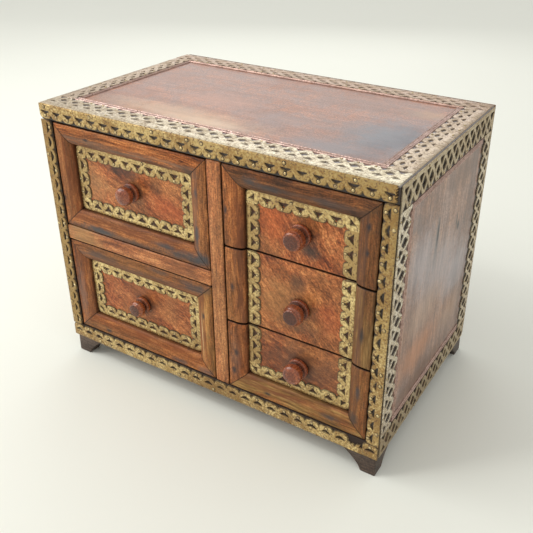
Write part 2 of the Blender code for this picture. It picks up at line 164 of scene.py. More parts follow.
def make_piece(name: str, surface: Surface, body: str, material: bpy.types.Material, slot: str,
               stands_for: Sequence[str] = (), crease: float = 38.0) -> None:
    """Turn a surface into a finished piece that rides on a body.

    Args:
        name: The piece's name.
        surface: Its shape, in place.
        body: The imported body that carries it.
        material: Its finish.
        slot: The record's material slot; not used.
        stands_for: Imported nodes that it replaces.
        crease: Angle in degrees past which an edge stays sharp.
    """
    mesh = surface.mesh(name)
    mesh.shade_smooth()
    mesh.set_sharp_from_angle(angle=math.radians(crease))
    mesh.materials.append(material)
    made = bpy.data.objects.new(name, mesh)
    bpy.context.collection.objects.link(made)
    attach(made, body)
    if stands_for:
        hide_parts(*stands_for)
    LOG.info("%s: %d faces on %s", name, len(mesh.polygons), body)


def ripple(points: Array, length: float, seed: int) -> Array:
    """Unevenness from -1 to 1: the mean of six sine waves about `length` long, of random way and phase."""
    draw = np.random.default_rng(seed)
    ways = draw.normal(size=(6, 3))
    ways *= 2 * math.pi / length / np.linalg.norm(ways, axis=1, keepdims=True)
    return np.sin(points @ ways.T + draw.uniform(0, 2 * math.pi, 6)).mean(axis=-1)


def edge_lines(half: float, radius: float, spacing: float = 0.012) -> Array:
    """Grid lines from -half to half that close up at both ends, so that a rounded edge gets even steps."""
    steps = radius * np.tan(np.radians([45.0, 30.0, 15.0]))
    flat = np.linspace(radius - half, half - radius, max(2, int(2 * half / spacing)))
    return np.concatenate([radius - half - steps, flat, (half - radius + steps)[::-1]])


def rounded_board(low: Sequence[float], high: Sequence[float], radius: float) -> Surface:
    """A board with rounded edges.

    Each point of a gridded box is pulled to `radius` away from the box shrunk by `radius`.

    Args:
        low: Lowest corner.
        high: Highest corner.
        radius: Radius of the edges.

    Returns:
        The closed surface.
    """
    low, high = np.asarray(low, float), np.asarray(high, float)
    centre, half = (low + high) / 2, (high - low) / 2
    lines = [edge_lines(size, radius) for size in half]
    sides = []
    for axis in range(3):
        first, second = (axis + 1) % 3, (axis + 2) % 3
        rows, columns = np.meshgrid(lines[first], lines[second], indexing="ij")
        for sign in (-1.0, 1.0):
            points = np.empty(rows.shape + (3,))
            points[..., axis], points[..., first], points[..., second] = sign * half[axis], rows, columns
            inner = np.clip(points, radius - half, half - radius)
            reach = points - inner
            points = inner + radius * reach / np.linalg.norm(reach, axis=-1, keepdims=True)
            sides.append(Surface.grid(points + centre, flip=sign > 0))
    return Surface.join(sides).welded()


def turned(profile: Array, centre: Sequence[float], sides: int) -> Surface:
    """Turn a profile about an axis that runs along -Y.

    A point at distance `out` from the front and radius `r` goes to centre + (r cos a, -out, r sin a).

    Args:
        profile: Rows of out and radius.
        centre: Point on the axis where out is nought.
        sides: Steps round the axis.

    Returns:
        The surface, with `out` and `radius` as values.
    """
    turn = np.linspace(0, 2 * math.pi, sides + 1)
    out, radius = profile[:, :1], profile[:, 1:]
    points = np.stack([centre[0] + radius * np.cos(turn), centre[1] - out + 0 * turn,
                       centre[2] + radius * np.sin(turn)], axis=-1)
    return Surface.grid(points, out=out, radius=radius).welded()


def soft_corners(curve: Array, cut: float) -> Array:
    """Cut every corner of a closed outline at a share of its two sides."""
    after = np.roll(curve, -1, axis=0)
    return np.stack([(1 - cut) * curve + cut * after, cut * curve + (1 - cut) * after], axis=1).reshape(-1, 2)


def ray_radius(curve: Array, angles: Array) -> tuple[Array, Array]:
    """Distance from the origin to a closed outline that is star-shaped about it.

    The ray t d meets the segment a + u e where t = (a x e) / (d x e) and u = (a x d) / (d x e).

    Args:
        curve: Corners of the outline.
        angles: Angles of the rays.

    Returns:
        The distance along each ray, and the number of the segment that it meets.
    """
    edge = np.roll(curve, -1, axis=0) - curve
    ray = np.stack([np.cos(angles), np.sin(angles)], axis=-1)[:, None]
    across = ray[..., 0] * edge[:, 1] - ray[..., 1] * edge[:, 0]
    across = np.where(np.abs(across) < 1e-15, 1e-15, across)
    reach = (curve[:, 0] * edge[:, 1] - curve[:, 1] * edge[:, 0]) / across
    share = (curve[:, 0] * ray[..., 1] - curve[:, 1] * ray[..., 0]) / across
    reach = np.where((reach > 0) & (share > -1e-7) & (share < 1 + 1e-7), reach, np.inf)
    segment = reach.argmin(axis=1)
    return reach[np.arange(len(angles)), segment], segment


def capped(rows: Array) -> Array:
    """Close a lofted section: repeat its first column last, and shrink a row at each end to its middle."""
    rows = np.concatenate([rows, rows[:, :1]], axis=1)
    first, last = (np.broadcast_to(row.mean(axis=0), row.shape) for row in (rows[0, :-1], rows[-1, :-1]))
    first, last = (np.concatenate([row, row[:1]])[None] for row in (first, last))
    return np.concatenate([first, rows, last])


@dataclass(frozen=True)
class Sheet:
    """Gauge of the brass: thickness, crisp rim, soft shoulder, a dark skirt of painted shadow on the wood, and
    height above the wood.
    """

    thickness: float = 0.0007
    rim: float = 0.00012
    shoulder: float = 0.0008
    skirt: float = 0.0006
    lift: float = 0.0003


@dataclass(frozen=True)
class Run:
    """Where a strip lies: its start, the way along it, inward from its outer edge and outward from the wood.

    Its tone is that of its start and drifts evenly to its end.
    """

    start: Triple
    along: Triple
    inward: Triple
    outward: Triple
    length: float
    width: float
    tone: float = 0.0
    drift: float = 0.0

    def place(self, flat: Array) -> Array:
        """Carry strip coordinates (along, inward, outward) into the frame."""
        ways = np.array([self.along, self.inward, self.outward], float)
        return np.asarray(self.start, float) + flat @ ways

    @property
    def turned(self) -> bool:
        """Whether along, inward and outward make a right-handed set."""
        return float(np.dot(np.cross(self.along, self.inward), self.outward)) > 0


@dataclass(frozen=True)
class Cell:
    """One repeat of a fret in strip coordinates: an outline, which of its sides are free, and a hole."""

    outline: Array
    free: Array
    centre: Array
    hole: Optional[Array] = None

    def rays(self) -> tuple[Array, Array, Array, Array]:
        """Rays from the centre through every corner of the outline and the hole.

        A corner between a free and a shared side has two rays, one for each. Shared sides are drawn in by a
        hair, so that each repeat is a body of its own.

        Returns:
            Angles in order round a full turn, how far the outline is, whether its edge is free there, and
            whether both sides that meet there are.
        """
        least_angle, hair = 0.03, 0.00001
        corner = self.outline - self.centre
        angle, reach = np.arctan2(corner[:, 1], corner[:, 0]), np.hypot(corner[:, 0], corner[:, 1])
        before, after = np.roll(self.free, 1), self.free
        parts = [np.stack([angle, 0 * angle, reach, before, before & after], axis=-1),
                 np.stack([angle, 0 * angle + 1, reach, after, before & after], axis=-1)[before != after]]
        if self.hole is not None:
            inner = self.hole - self.centre
            turn = np.arctan2(inner[:, 1], inner[:, 0])
            apart = np.abs((turn[:, None] - angle + math.pi) % (2 * math.pi) - math.pi).min(axis=1)
            turn = turn[apart > least_angle]
            far, segment = ray_radius(corner, turn)
            parts.append(np.stack([turn, 0 * turn, far, self.free[segment], self.free[segment]], axis=-1))
        rays = np.concatenate(parts)
        rays = rays[np.lexsort((rays[:, 1], rays[:, 0]))]
        rays = np.concatenate([rays, rays[:1] + [2 * math.pi, 0, 0, 0, 0]])
        return rays[:, 0], rays[:, 2] - hair * (1 - rays[:, 4]), rays[:, 3], rays[:, 4]

    def rings(self, sheet: Sheet, swell: Array, crest: float, edge_dirt_and_shade: float) -> tuple[Array, Array, Array]:
        """Work out the cell's section on every ray.

        On each ray a low dark skirt of painted shade, on the hole's floor, leads to the hole's wall; the sheet
        goes up it, over a soft shoulder to a low crest, over a second shoulder, down the free edge and into
        another skirt, painted shadow on the wood. Where the outline is shared with a neighbour it drops straight
        down.

        Args:
            sheet: Gauge of the brass.
            swell: Size of the hole in each repeat, 1 as drawn.
            crest: How far the sheet is raised between hole and edge.
            edge_dirt_and_shade: How far the straight outer edge is darkened by dirt and by its skirt of painted
                shadow, 1 as the other rims.

        Returns:
            Points of shape repeat, ring, ray, coordinate for the top; the same for the underside; and how
            near each top ring is to a rim.
        """
        least_web, low = 0.0005, 0.00015
        angles, outer, free, skirted = self.rays()
        outer = np.broadcast_to(outer, (len(swell), len(angles)))
        top, edge = sheet.thickness, sheet.rim
        level, none = np.full(outer.shape, top), np.zeros(outer.shape)
        holed = float(self.hole is not None)
        inner = none
        if self.hole is not None:
            drawn = ray_radius(self.hole - self.centre, angles)[0]
            inner = np.minimum(drawn * swell[:, None], outer - least_web)
        soft = np.minimum(sheet.shoulder, 0.42 * (outer - inner))
        # Rim 1 darkens the metal, by dirt along its edges and as painted shade on the skirts and hole floors.
        soil_and_shade = free * np.where(self.centre[1] + outer * np.sin(angles) < 1e-5, edge_dirt_and_shade, 1.0)
        bare = np.maximum(inner - sheet.skirt, 0.3 * inner)
        radius = [bare, inner, inner + edge * holed, inner + soft, outer - soft * free, outer - edge * free,
                  outer, outer + sheet.skirt * soil_and_shade * skirted]
        height = [level * (1 - holed), level * (1 - holed) + low * holed, level, level + crest * holed,
                  level + crest * free, level, none + low, none]
        rim = [none + holed, none + holed, none + 0.8 * holed, none, none, 0.8 * soil_and_shade, soil_and_shade, soil_and_shade]

        def placed(distance: Array, up: Array) -> Array:
            """Points at a distance from the centre on every ray."""
            x, y = self.centre
            return np.stack([x + distance * np.cos(angles), y + distance * np.sin(angles), up], axis=-1)

        upper = placed(np.stack(radius, axis=1), np.stack(height, axis=1))
        under = placed(np.stack([radius[-1], bare], axis=1), np.stack([none, none], axis=1))
        return upper, under, np.stack(rim, axis=1)


@dataclass(frozen=True)
class Fret:
    """What the two pierced patterns share: the sheet, and how repeats are laid along a run."""

    sheet: Sheet = Sheet()
    pitch: float = 0.016
    wave: float = 0.00012
    buckle_length: float = 0.02
    crest: float = 0.0003
    edge_dirt_and_shade: float = 0.1

    def lay(self, run: Run, cell: Cell, steps: Array, swell: Array, seed: int) -> Surface:
        """Repeat a cell along a run, slightly buckled.

        Args:
            run: Where the strip lies.
            cell: The repeat, drawn at the start of the run.
            steps: Distance of each repeat along the run.
            swell: Size of the hole in each repeat.
            seed: Seed of the buckle.

        Returns:
            The repeats, with their rim and the run's tone.
        """
        upper, under, rim = cell.rings(self.sheet, swell, self.crest, self.edge_dirt_and_shade)
        parts = []
        for points, value in ((upper, rim), (under, 1.0)):
            points[..., 0] += steps[:, None, None]
            placed = run.place(points)
            lifted = points[..., 2:] > self.sheet.thickness / 2
            buckle = self.wave * (1 + ripple(placed, self.buckle_length, seed))
            placed = placed + np.asarray(run.outward) * lifted * buckle[..., None]
            tone = run.tone + run.drift * points[..., 0] / run.length
            parts.append(Surface.grid(placed, flip=run.turned, rim=value, tone=tone))
        return Surface.join(parts)

    def on_sheet(self, run: Run, rows: Sequence[tuple[Array, float]], shifts: Any = 0.0) -> Array:
        """Places on the upper face of a strip.

        Args:
            run: Where the strip lies.
            rows: Distances along it, and the level across it that they share.
            shifts: How far each place strays.

        Returns:
            One point for every distance.
        """
        flat = np.concatenate([np.stack([along, 0 * along + level], axis=-1) for along, level in rows])
        flat = flat + shifts
        flat[:, 0] = flat[:, 0].clip(0.002, run.length - 0.004)
        height = np.full((len(flat), 1), self.sheet.thickness + self.wave)
        return run.place(np.concatenate([flat, height], axis=-1))

    def count(self, run: Run) -> tuple[int, float]:
        """How many repeats fit a run, and how long each is."""
        number = max(2, round(run.length / self.pitch))
        return number, run.length / number


def tear(level: Array) -> Array:
    """How far a torn edge strays at a level across the strip: a short sine wave."""
    return 0.0009 * np.sin(2300.0 * level)


@dataclass(frozen=True)
class ScallopFret(Fret):
    """The lobed strip: a solid band, then half-moons with a stem, each above a lobe, with cusps between.

    At full 1 a half-moon is boat-shaped, at 0 it narrows in hollow curves to its stem.
    """

    cusp: float = 0.004
    moon_half: float = 0.005
    moon_depth: float = 0.0028
    moon_to_tip: float = 0.0058
    stem_half: float = 0.0012
    stem_length: float = 0.0006
    full: float = 1.0

    def moon(self) -> Array:
        """Outline of the half-moon about the middle of its chord, counter-clockwise from its right tip."""
        half, depth = self.moon_half, self.moon_depth
        round_share, straight_share = np.array([1.0, 0.86, 0.62, 0.34]), np.array([1.0, 0.6, 0.34, 0.24])
        share = self.full * round_share + (1 - self.full) * straight_share
        curve = np.stack([half * share, depth * np.array([-0.03, 0.42, 0.8, 0.97])], axis=-1)
        right = np.concatenate([curve, [[self.stem_half, depth + self.stem_length]]])
        return np.concatenate([right, right[::-1] * [-1, 1], [[0.0, 0.1 * depth]]])

    def cell(self, pitch: float, width: float, first: bool, last: bool, torn: float = 0.0) -> Cell:
        """Draw one lobe: its edge rises steeply from the cusp, then runs in a flat curve to the lobe's tip.

        Args:
            pitch: Length of the repeat.
            width: Width of the strip.
            first: Whether the strip starts here.
            last: Whether the strip ends here.
            torn: How much of the repeat has been torn off at its far end.

        Returns:
            The cell at the start of the run.
        """
        middle, notch = pitch / 2, width - self.cusp
        share = np.array([0.0, 0.07, 0.17, 0.32, 0.6])
        rise = np.array([0.0, 0.36, 0.68, 0.9, 0.99])
        right = np.stack([pitch - share * middle, notch + rise * self.cusp], axis=-1)
        lobe = np.concatenate([right, [[middle, width]], right[::-1] * [-1, 1] + [pitch, 0]])
        outline = np.concatenate([[[0.0, 0.0], [pitch, 0.0]], lobe])
        free = np.array([True, last, *[True] * (len(lobe) - 1), first])
        if torn:
            ragged = pitch - (torn + tear(outline[:, 1]))
            outline = np.stack([np.minimum(outline[:, 0], ragged), outline[:, 1]], axis=-1)
        chord = width - self.moon_to_tip - self.moon_depth
        centre = np.array([middle, chord + 0.5 * self.moon_depth])
        return Cell(outline, free, centre, self.moon() + [middle, chord])

    def corner(self, width: float) -> Cell:
        """Draw a border's corner: rounded outside, joined to both strips, pierced by a slanting half-moon."""
        ease, small, round_off = 0.0012, 0.8, 0.42 * width
        notch, turn = width - self.cusp, np.linspace(1.5 * math.pi, math.pi, 6)
        arc = round_off + round_off * np.stack([np.cos(turn), np.sin(turn)], axis=-1)
        inside = [[width, 0.0], [width, notch], [width - ease, width - ease], [notch, width], [0.0, width]]
        outline = np.concatenate([inside, arc[::-1]])
        free = np.array([False, True, True, False] + [True] * 7)
        slanted = small * self.moon() @ (math.sqrt(0.5) * np.array([[1.0, -1.0], [1.0, 1.0]]))
        centre = np.array([0.5 * width, 0.5 * width])
        middle = np.array([0.5, 0.5]) * small * self.moon_depth * math.sqrt(0.5)
        return Cell(outline, free, centre, slanted + centre - middle)

    def strip(self, run: Run, seed: int, missing: Sequence[int] = (), torn: float = 0.0,
              open_ends: tuple[bool, bool] = (True, True)) -> Surface:
        """Lay a whole strip.

        Args:
            run: Where it lies.
            seed: Seed of its unevenness.
            missing: Lobes that have broken off.
            torn: How much of the last lobe has been torn off.
            open_ends: Whether the strip's two ends are free edges.

        Returns:
            The strip.
        """
        draw = np.random.default_rng(seed)
        count, pitch = self.count(run)
        kept = np.array([number for number in range(count) if number not in missing])
        starts = np.isin(kept - 1, kept, invert=True) & ((kept > 0) | open_ends[0])
        ends = np.isin(kept + 1, kept, invert=True) & ((kept < count - 1) | open_ends[1])
        parts = []
        for first in (False, True):
            for last in (False, True):
                chosen = kept[(starts == first) & (ends == last)]
                if len(chosen):
                    swell = draw.normal(1.0, 0.07, len(chosen)).clip(0.82, 1.12)
                    lost = torn if last and chosen[-1] == count - 1 else 0.0
                    cell = self.cell(pitch, run.width, first, last, lost)
                    parts.append(self.lay(run, cell, chosen * pitch, swell, seed))
        return Surface.join(parts)

    def stump(self, run: Run, lobes: Sequence[int], seed: int) -> Surface:
        """The ragged half-width band that is left where lobes have broken off."""
        _, pitch = self.count(run)
        steps = np.arange(9)
        along = np.linspace(0.0, pitch * len(lobes), len(steps))
        ragged = run.width * (0.52 + 0.09 * np.sin(2.9 * steps) + 0.05 * np.cos(5.3 * steps))
        edge = np.stack([along, ragged], axis=-1)[::-1]
        outline = np.concatenate([[[0.0, 0.0], [along[-1], 0.0]], edge])
        free = np.array([True, False] + [True] * 8 + [False])
        cell = Cell(outline, free, np.array([along[-1] / 2, 0.15 * run.width]))
        return self.lay(run, cell, np.array([lobes[0] * pitch]), np.ones(1), seed)

    def nails(self, run: Run, seed: int, missing: Sequence[int] = (), tip_share: float = 0.85,
              band_share: float = 0.4) -> Array:
        """Places of the nails: at most lobe tips, and here and there on the band.

        Args:
            run: Where the strip lies.
            seed: Seed of the choice.
            missing: Lobes that have broken off.
            tip_share: Share of lobes with a nail.
            band_share: Share of repeats with a nail on the band.

        Returns:
            The foot of every nail.
        """
        draw = np.random.default_rng(seed + 500)
        count, pitch = self.count(run)
        kept = np.array([number for number in range(count) if number not in missing])
        tips = kept[draw.random(len(kept)) < tip_share]
        band = kept[draw.random(len(kept)) < band_share]
        tip_level = run.width - 0.63 * (self.moon_to_tip - self.stem_length)
        band_level = max(0.0026, 0.45 * (run.width - self.moon_to_tip - self.moon_depth))
        rows = [((tips + 0.5) * pitch, tip_level),
                ((band + draw.choice([0.42, 0.62, 0.98], len(band))) * pitch, band_level)]
        return self.on_sheet(run, rows, draw.normal(0.0, 0.0004, (len(tips) + len(band), 2)))


@dataclass(frozen=True)
class LatticeFret(Fret):
    """The crossed strip: a solid band, a row of triangles, a row of diamonds and a toothed inner edge."""

    band: float = 0.0088
    bar: float = 0.0056
    hole_long: float = 1.0
    hole_tall: float = 0.85
    hole_cut: float = 0.14

    def levels(self, pitch: float, width: float) -> tuple[float, float, float, float]:
        """Level of the crossings, half width and height of a diamond, and the valley between two teeth."""
        run, rise = pitch / 2, (width - self.band) / 2
        slant = math.hypot(run, rise) * self.bar / 2
        return self.band + rise, run - slant / rise, rise - slant / run, self.band + rise + slant / run

    def triangle(self, pitch: float, width: float, first: bool, last: bool) -> Cell:
        """Draw the band and the bars above one crossing, pierced by a triangle on the band."""
        level, half_width, half_height, _ = self.levels(pitch, width)
        middle = pitch / 2
        outline = np.array([[0, 0], [pitch, 0], [pitch, self.band], [middle, level], [0, self.band]], float)
        wide, tall = half_width * self.hole_long, half_height * self.hole_tall
        base = self.band + 0.35 * (half_height - tall)
        hole = np.array([[middle - wide, base], [middle + wide, base], [middle, base + 1.15 * tall]])
        centre = np.array([middle, base + 0.35 * tall])
        free = np.array([True, last, False, False, first])
        return Cell(outline, free, centre, soft_corners(hole, self.hole_cut))

    def diamond(self, pitch: float, width: float) -> Cell:
        """Draw the bars round one diamond, about the start of the run, down to a tooth of the inner edge."""
        level, half_width, half_height, valley = self.levels(pitch, width)
        middle, tip = pitch / 2, pitch / 2 - half_width
        outline = np.array([[-middle, level], [0, self.band], [middle, level], [middle, valley], [tip, width],
                            [-tip, width], [-middle, valley]], float)
        free = np.array([False, False, False, True, True, True, False])
        wide, tall = half_width * self.hole_long, half_height * self.hole_tall
        hole = np.array([[-wide, level], [0, level - tall], [wide, level], [0, level + tall]])
        return Cell(outline, free, np.array([0.0, level]), soft_corners(hole, self.hole_cut))

    def half_diamond(self, pitch: float, width: float, last: bool) -> Cell:
        """Draw the solid end of the bars where the strip is cut off."""
        level, half_width, _, valley = self.levels(pitch, width)
        middle, tip = pitch / 2, pitch / 2 - half_width
        corners = [[0, self.band], [middle, level], [middle, valley], [tip, width], [0, width]]
        outline = np.array(corners, float)
        free = np.array([False, False, True, True, True])
        centre = np.array([middle * 0.4, level])
        if last:
            outline, free = (outline * [-1, 1])[::-1], np.roll(free[::-1], -1)
            centre = centre * [-1, 1]
        return Cell(outline, free, centre)

    def strip(self, run: Run, seed: int) -> Surface:
        """Lay a whole strip."""
        draw = np.random.default_rng(seed)
        count, pitch = self.count(run)
        steps = np.arange(count) * pitch

        def swell(number: int) -> Array:
            """Uneven sizes of holes."""
            return draw.normal(1.0, 0.08, number).clip(0.8, 1.15)

        ranges = ((True, False, steps[:1]), (False, False, steps[1:-1]), (False, True, steps[-1:]))
        parts = [self.lay(run, self.triangle(pitch, run.width, first, last), chosen, swell(len(chosen)), seed)
                 for first, last, chosen in ranges if len(chosen)]
        parts.append(self.lay(run, self.diamond(pitch, run.width), steps[1:], swell(count - 1), seed))
        for last, step in ((False, 0.0), (True, run.length)):
            cell = self.half_diamond(pitch, run.width, last)
            parts.append(self.lay(run, cell, np.array([step]), np.ones(1), seed))
        return Surface.join(parts)

    def nails(self, run: Run, seed: int) -> Array:
        """Places of the small nails: along the band and at every few teeth."""
        draw = np.random.default_rng(seed + 500)
        count, pitch = self.count(run)
        band = np.arange(count)[draw.random(count) < 0.25]
        teeth = np.arange(1, count)[draw.random(count - 1) < 0.35]
        rows = [((band + 0.5) * pitch, self.band * 0.45), (teeth * pitch, run.width - 0.0022)]
        return self.on_sheet(run, rows)


def domes(places: Array, outward: Sequence[float], radius: float, height: float) -> Surface:
    """Nail heads, each with a flat dark skirt of painted shadow.

    At angle p from the crown the radius is R sin p and the height H cos p; the skirt reaches to 1.5 R.

    Args:
        places: Foot of every nail.
        outward: The way the nails stand out.
        radius: Radius of a head.
        height: Height of a head.

    Returns:
        All heads, with their rim value.
    """
    outward = np.asarray(outward, float)
    side = np.array([0.0, 0.0, 1.0]) if abs(outward[2]) < 0.5 else np.array([1.0, 0.0, 0.0])
    other = np.cross(outward, side)
    turn = np.linspace(0, 2 * math.pi, 10)
    fall = np.radians([0.0, 38.0, 72.0, 90.0])
    reach = np.concatenate([radius * np.sin(fall), radius * np.array([1.5, 1.5, 0.0])])[:, None]
    lift, skirt, sunk = 0.0004, 0.00035, -0.0006
    rise = np.concatenate([height * np.cos(fall) + lift, [skirt, sunk, sunk]])[:, None]
    head = (reach[..., None] * (np.cos(turn)[:, None] * side + np.sin(turn)[:, None] * other)
            + rise[..., None] * outward)
    # Rim 1 on the skirt darkens it as painted shadow on the wood.
    rim = np.array([0.0, 0.0, 0.15, 1.0, 1.0, 1.0, 1.0])[:, None]
    return Surface.grid(places[:, None, None] + head, flip=True, rim=rim).welded()


@dataclass(frozen=True)
class BeadStrip:
    """The copper bead inside a lattice strip: two raised rims with a beaded row between them."""

    height: float = 0.0011
    bead_pitch: float = 0.0034
    steps: int = 6

    def strip(self, run: Run) -> Surface:
        """Carry the bead's section along a run.

        Across the strip, c from -1 to 1, the height is two rims exp(-((|c| - 0.78) / 0.18)^2) plus a row
        exp(-(c / 0.3)^2) that swells and sinks with the cosine of the distance along.

        Args:
            run: Where the bead lies; its width is the bead's.

        Returns:
            The closed strip, with its rim and the run's tone.
        """
        count = max(4, int(run.length / self.bead_pitch) * self.steps)
        along = np.linspace(0.0, run.length, count)[:, None]
        across = np.array([-1.0, -0.96, -0.78, -0.56, -0.34, 0.0, 0.34, 0.56, 0.78, 0.96, 1.0])
        beads = 0.5 - 0.5 * np.cos(2 * math.pi * along / self.bead_pitch)
        rims = np.exp(-(((np.abs(across) - 0.78) / 0.18) ** 2))
        row = np.exp(-((across / 0.3) ** 2))
        height = self.height * (0.3 + 0.7 * rims + row * (0.1 + 0.6 * beads))
        height = np.where(np.abs(across) == 1.0, 0.0, height)
        flat = capped(np.stack(np.broadcast_arrays(along, (across + 1) / 2 * run.width, height), axis=-1))
        hollow = 1.0 - (flat[..., 2] / self.height - 0.3).clip(0.0, 0.7) / 0.7
        return Surface.grid(run.place(flat), flip=run.turned, rim=hollow, tone=run.tone).welded()


class Graph:
    """Adds nodes to one node tree and links them."""

    def __init__(self, tree: bpy.types.NodeTree) -> None:
        """Work on a tree."""
        self.tree = tree

    def put(self, socket: Socket, value: Any) -> None:
        """Link a socket to another, or set its own value."""
        if isinstance(value, Socket):
            self.tree.links.new(value, socket)
        elif socket.type == "RGBA":
            socket.default_value = (*value[:3], 1.0)
        else:
            socket.default_value = value

    def node(self, kind: str, settings: Optional[dict[str, Any]] = None, **inputs: Any) -> bpy.types.Node:
        """Add a node.

        Args:
            kind: The node's type.
            settings: Properties of the node.
            inputs: Values or sockets by input name, an underscore for a space.

        Returns:
            The node.
        """
        made = self.tree.nodes.new(kind)
        for name, value in (settings or {}).items():
            setattr(made, name, value)
        for name, value in inputs.items():
            self.put(made.inputs[name.replace("_", " ")], value)
        return made

    def group(self, tree: bpy.types.NodeTree, **inputs: Any) -> bpy.types.Node:
        """Place a shared effect with its own values."""
        return self.node("ShaderNodeGroup", {"node_tree": tree}, **inputs)

    def math(self, operation: str, first: Any, second: Any = 0.0, third: Any = 0.0) -> Socket:
        """One arithmetic step."""
        made = self.tree.nodes.new("ShaderNodeMath")
        made.operation = operation
        for socket, value in zip(made.inputs, (first, second, third)):
            self.put(socket, value)
        return made.outputs[0]

    def vector(self, operation: str, first: Any, second: Any = (0.0, 0.0, 0.0), output: int = 0) -> Socket:
        """One step of vector arithmetic; output 1 is the scalar result."""
        made = self.tree.nodes.new("ShaderNodeVectorMath")
        made.operation = operation
        self.put(made.inputs[0], first)
        self.put(made.inputs[1], second)
        return made.outputs[output]

    def noise(self, vector: Any, scale: float | Triple, seed: Any, detail: float = 3.0, rough: float = 0.55,
              distort: float = 0.0) -> Socket:
        """Noise whose grain is 1 / scale metres long, alike each way or by its three directions."""
        scales = scale if isinstance(scale, tuple) else (scale,) * 3
        stretched = self.vector("MULTIPLY", vector, scales)
        made = self.node("ShaderNodeTexNoise", {"noise_dimensions": "4D"}, Vector=stretched, W=seed, Scale=1.0,
                         Detail=detail, Roughness=rough, Distortion=distort)
        return made.outputs[0]

    def fade(self, value: Any, start: float, end: float, low: float = 0.0, high: float = 1.0) -> Socket:
        """Smooth step from low at start to high at end."""
        made = self.node("ShaderNodeMapRange", {"interpolation_type": "SMOOTHSTEP"}, Value=value,
                         From_Min=start, From_Max=end, To_Min=low, To_Max=high)
        return made.outputs[0]

    def mix(self, factor: Any, first: Any, second: Any, blend: str = "MIX") -> Socket:
        """Mix two colours."""
        made = self.tree.nodes.new("ShaderNodeMix")
        made.data_type = "RGBA"
        made.blend_type = blend
        self.put(made.inputs[0], factor)
        self.put(made.inputs[6], first)
        self.put(made.inputs[7], second)
        return made.outputs[2]

    def layers(self, colour: Any, *rows: tuple[Any, Any, Any]) -> Socket:
        """Lay colours over one another; each row is a mask, its strength and its colour."""
        for mask, strength, over in rows:
            colour = self.mix(self.math("MULTIPLY", mask, strength), colour, over)
        return colour

    def near(self, colour: Any, distance: Any, start: float, end: float, strength: float,
             over: Any) -> Socket:
        """Lay a colour over another where a distance is short: at its strength up to start, gone at end."""
        return self.mix(self.fade(distance, start, end, strength, 0.0), colour, over)

    def apart(self, first: Any, second: Any) -> Socket:
        """How far apart two values are."""
        return self.math("ABSOLUTE", self.math("SUBTRACT", first, second))

    def ramp(self, value: Any, stops: Sequence[tuple[float, Colour]]) -> Socket:
        """Colour ramp through the given stops."""
        made = self.node("ShaderNodeValToRGB", Fac=value)
        elements = made.color_ramp.elements
        while len(elements) < len(stops):
            elements.new(0.5)
        for element, (place, colour) in zip(elements, stops):
            element.position = place
            element.color = (*colour, 1.0)
        return made.outputs[0]

    def split(self, vector: Any) -> tuple[Socket, Socket, Socket]:
        """The three coordinates of a vector."""
        made = self.node("ShaderNodeSeparateXYZ", Vector=vector)
        return made.outputs[0], made.outputs[1], made.outputs[2]

    def attribute(self, name: str) -> Socket:
        """A value of the piece's own points."""
        return self.node("ShaderNodeAttribute", {"attribute_name": name}).outputs["Fac"]


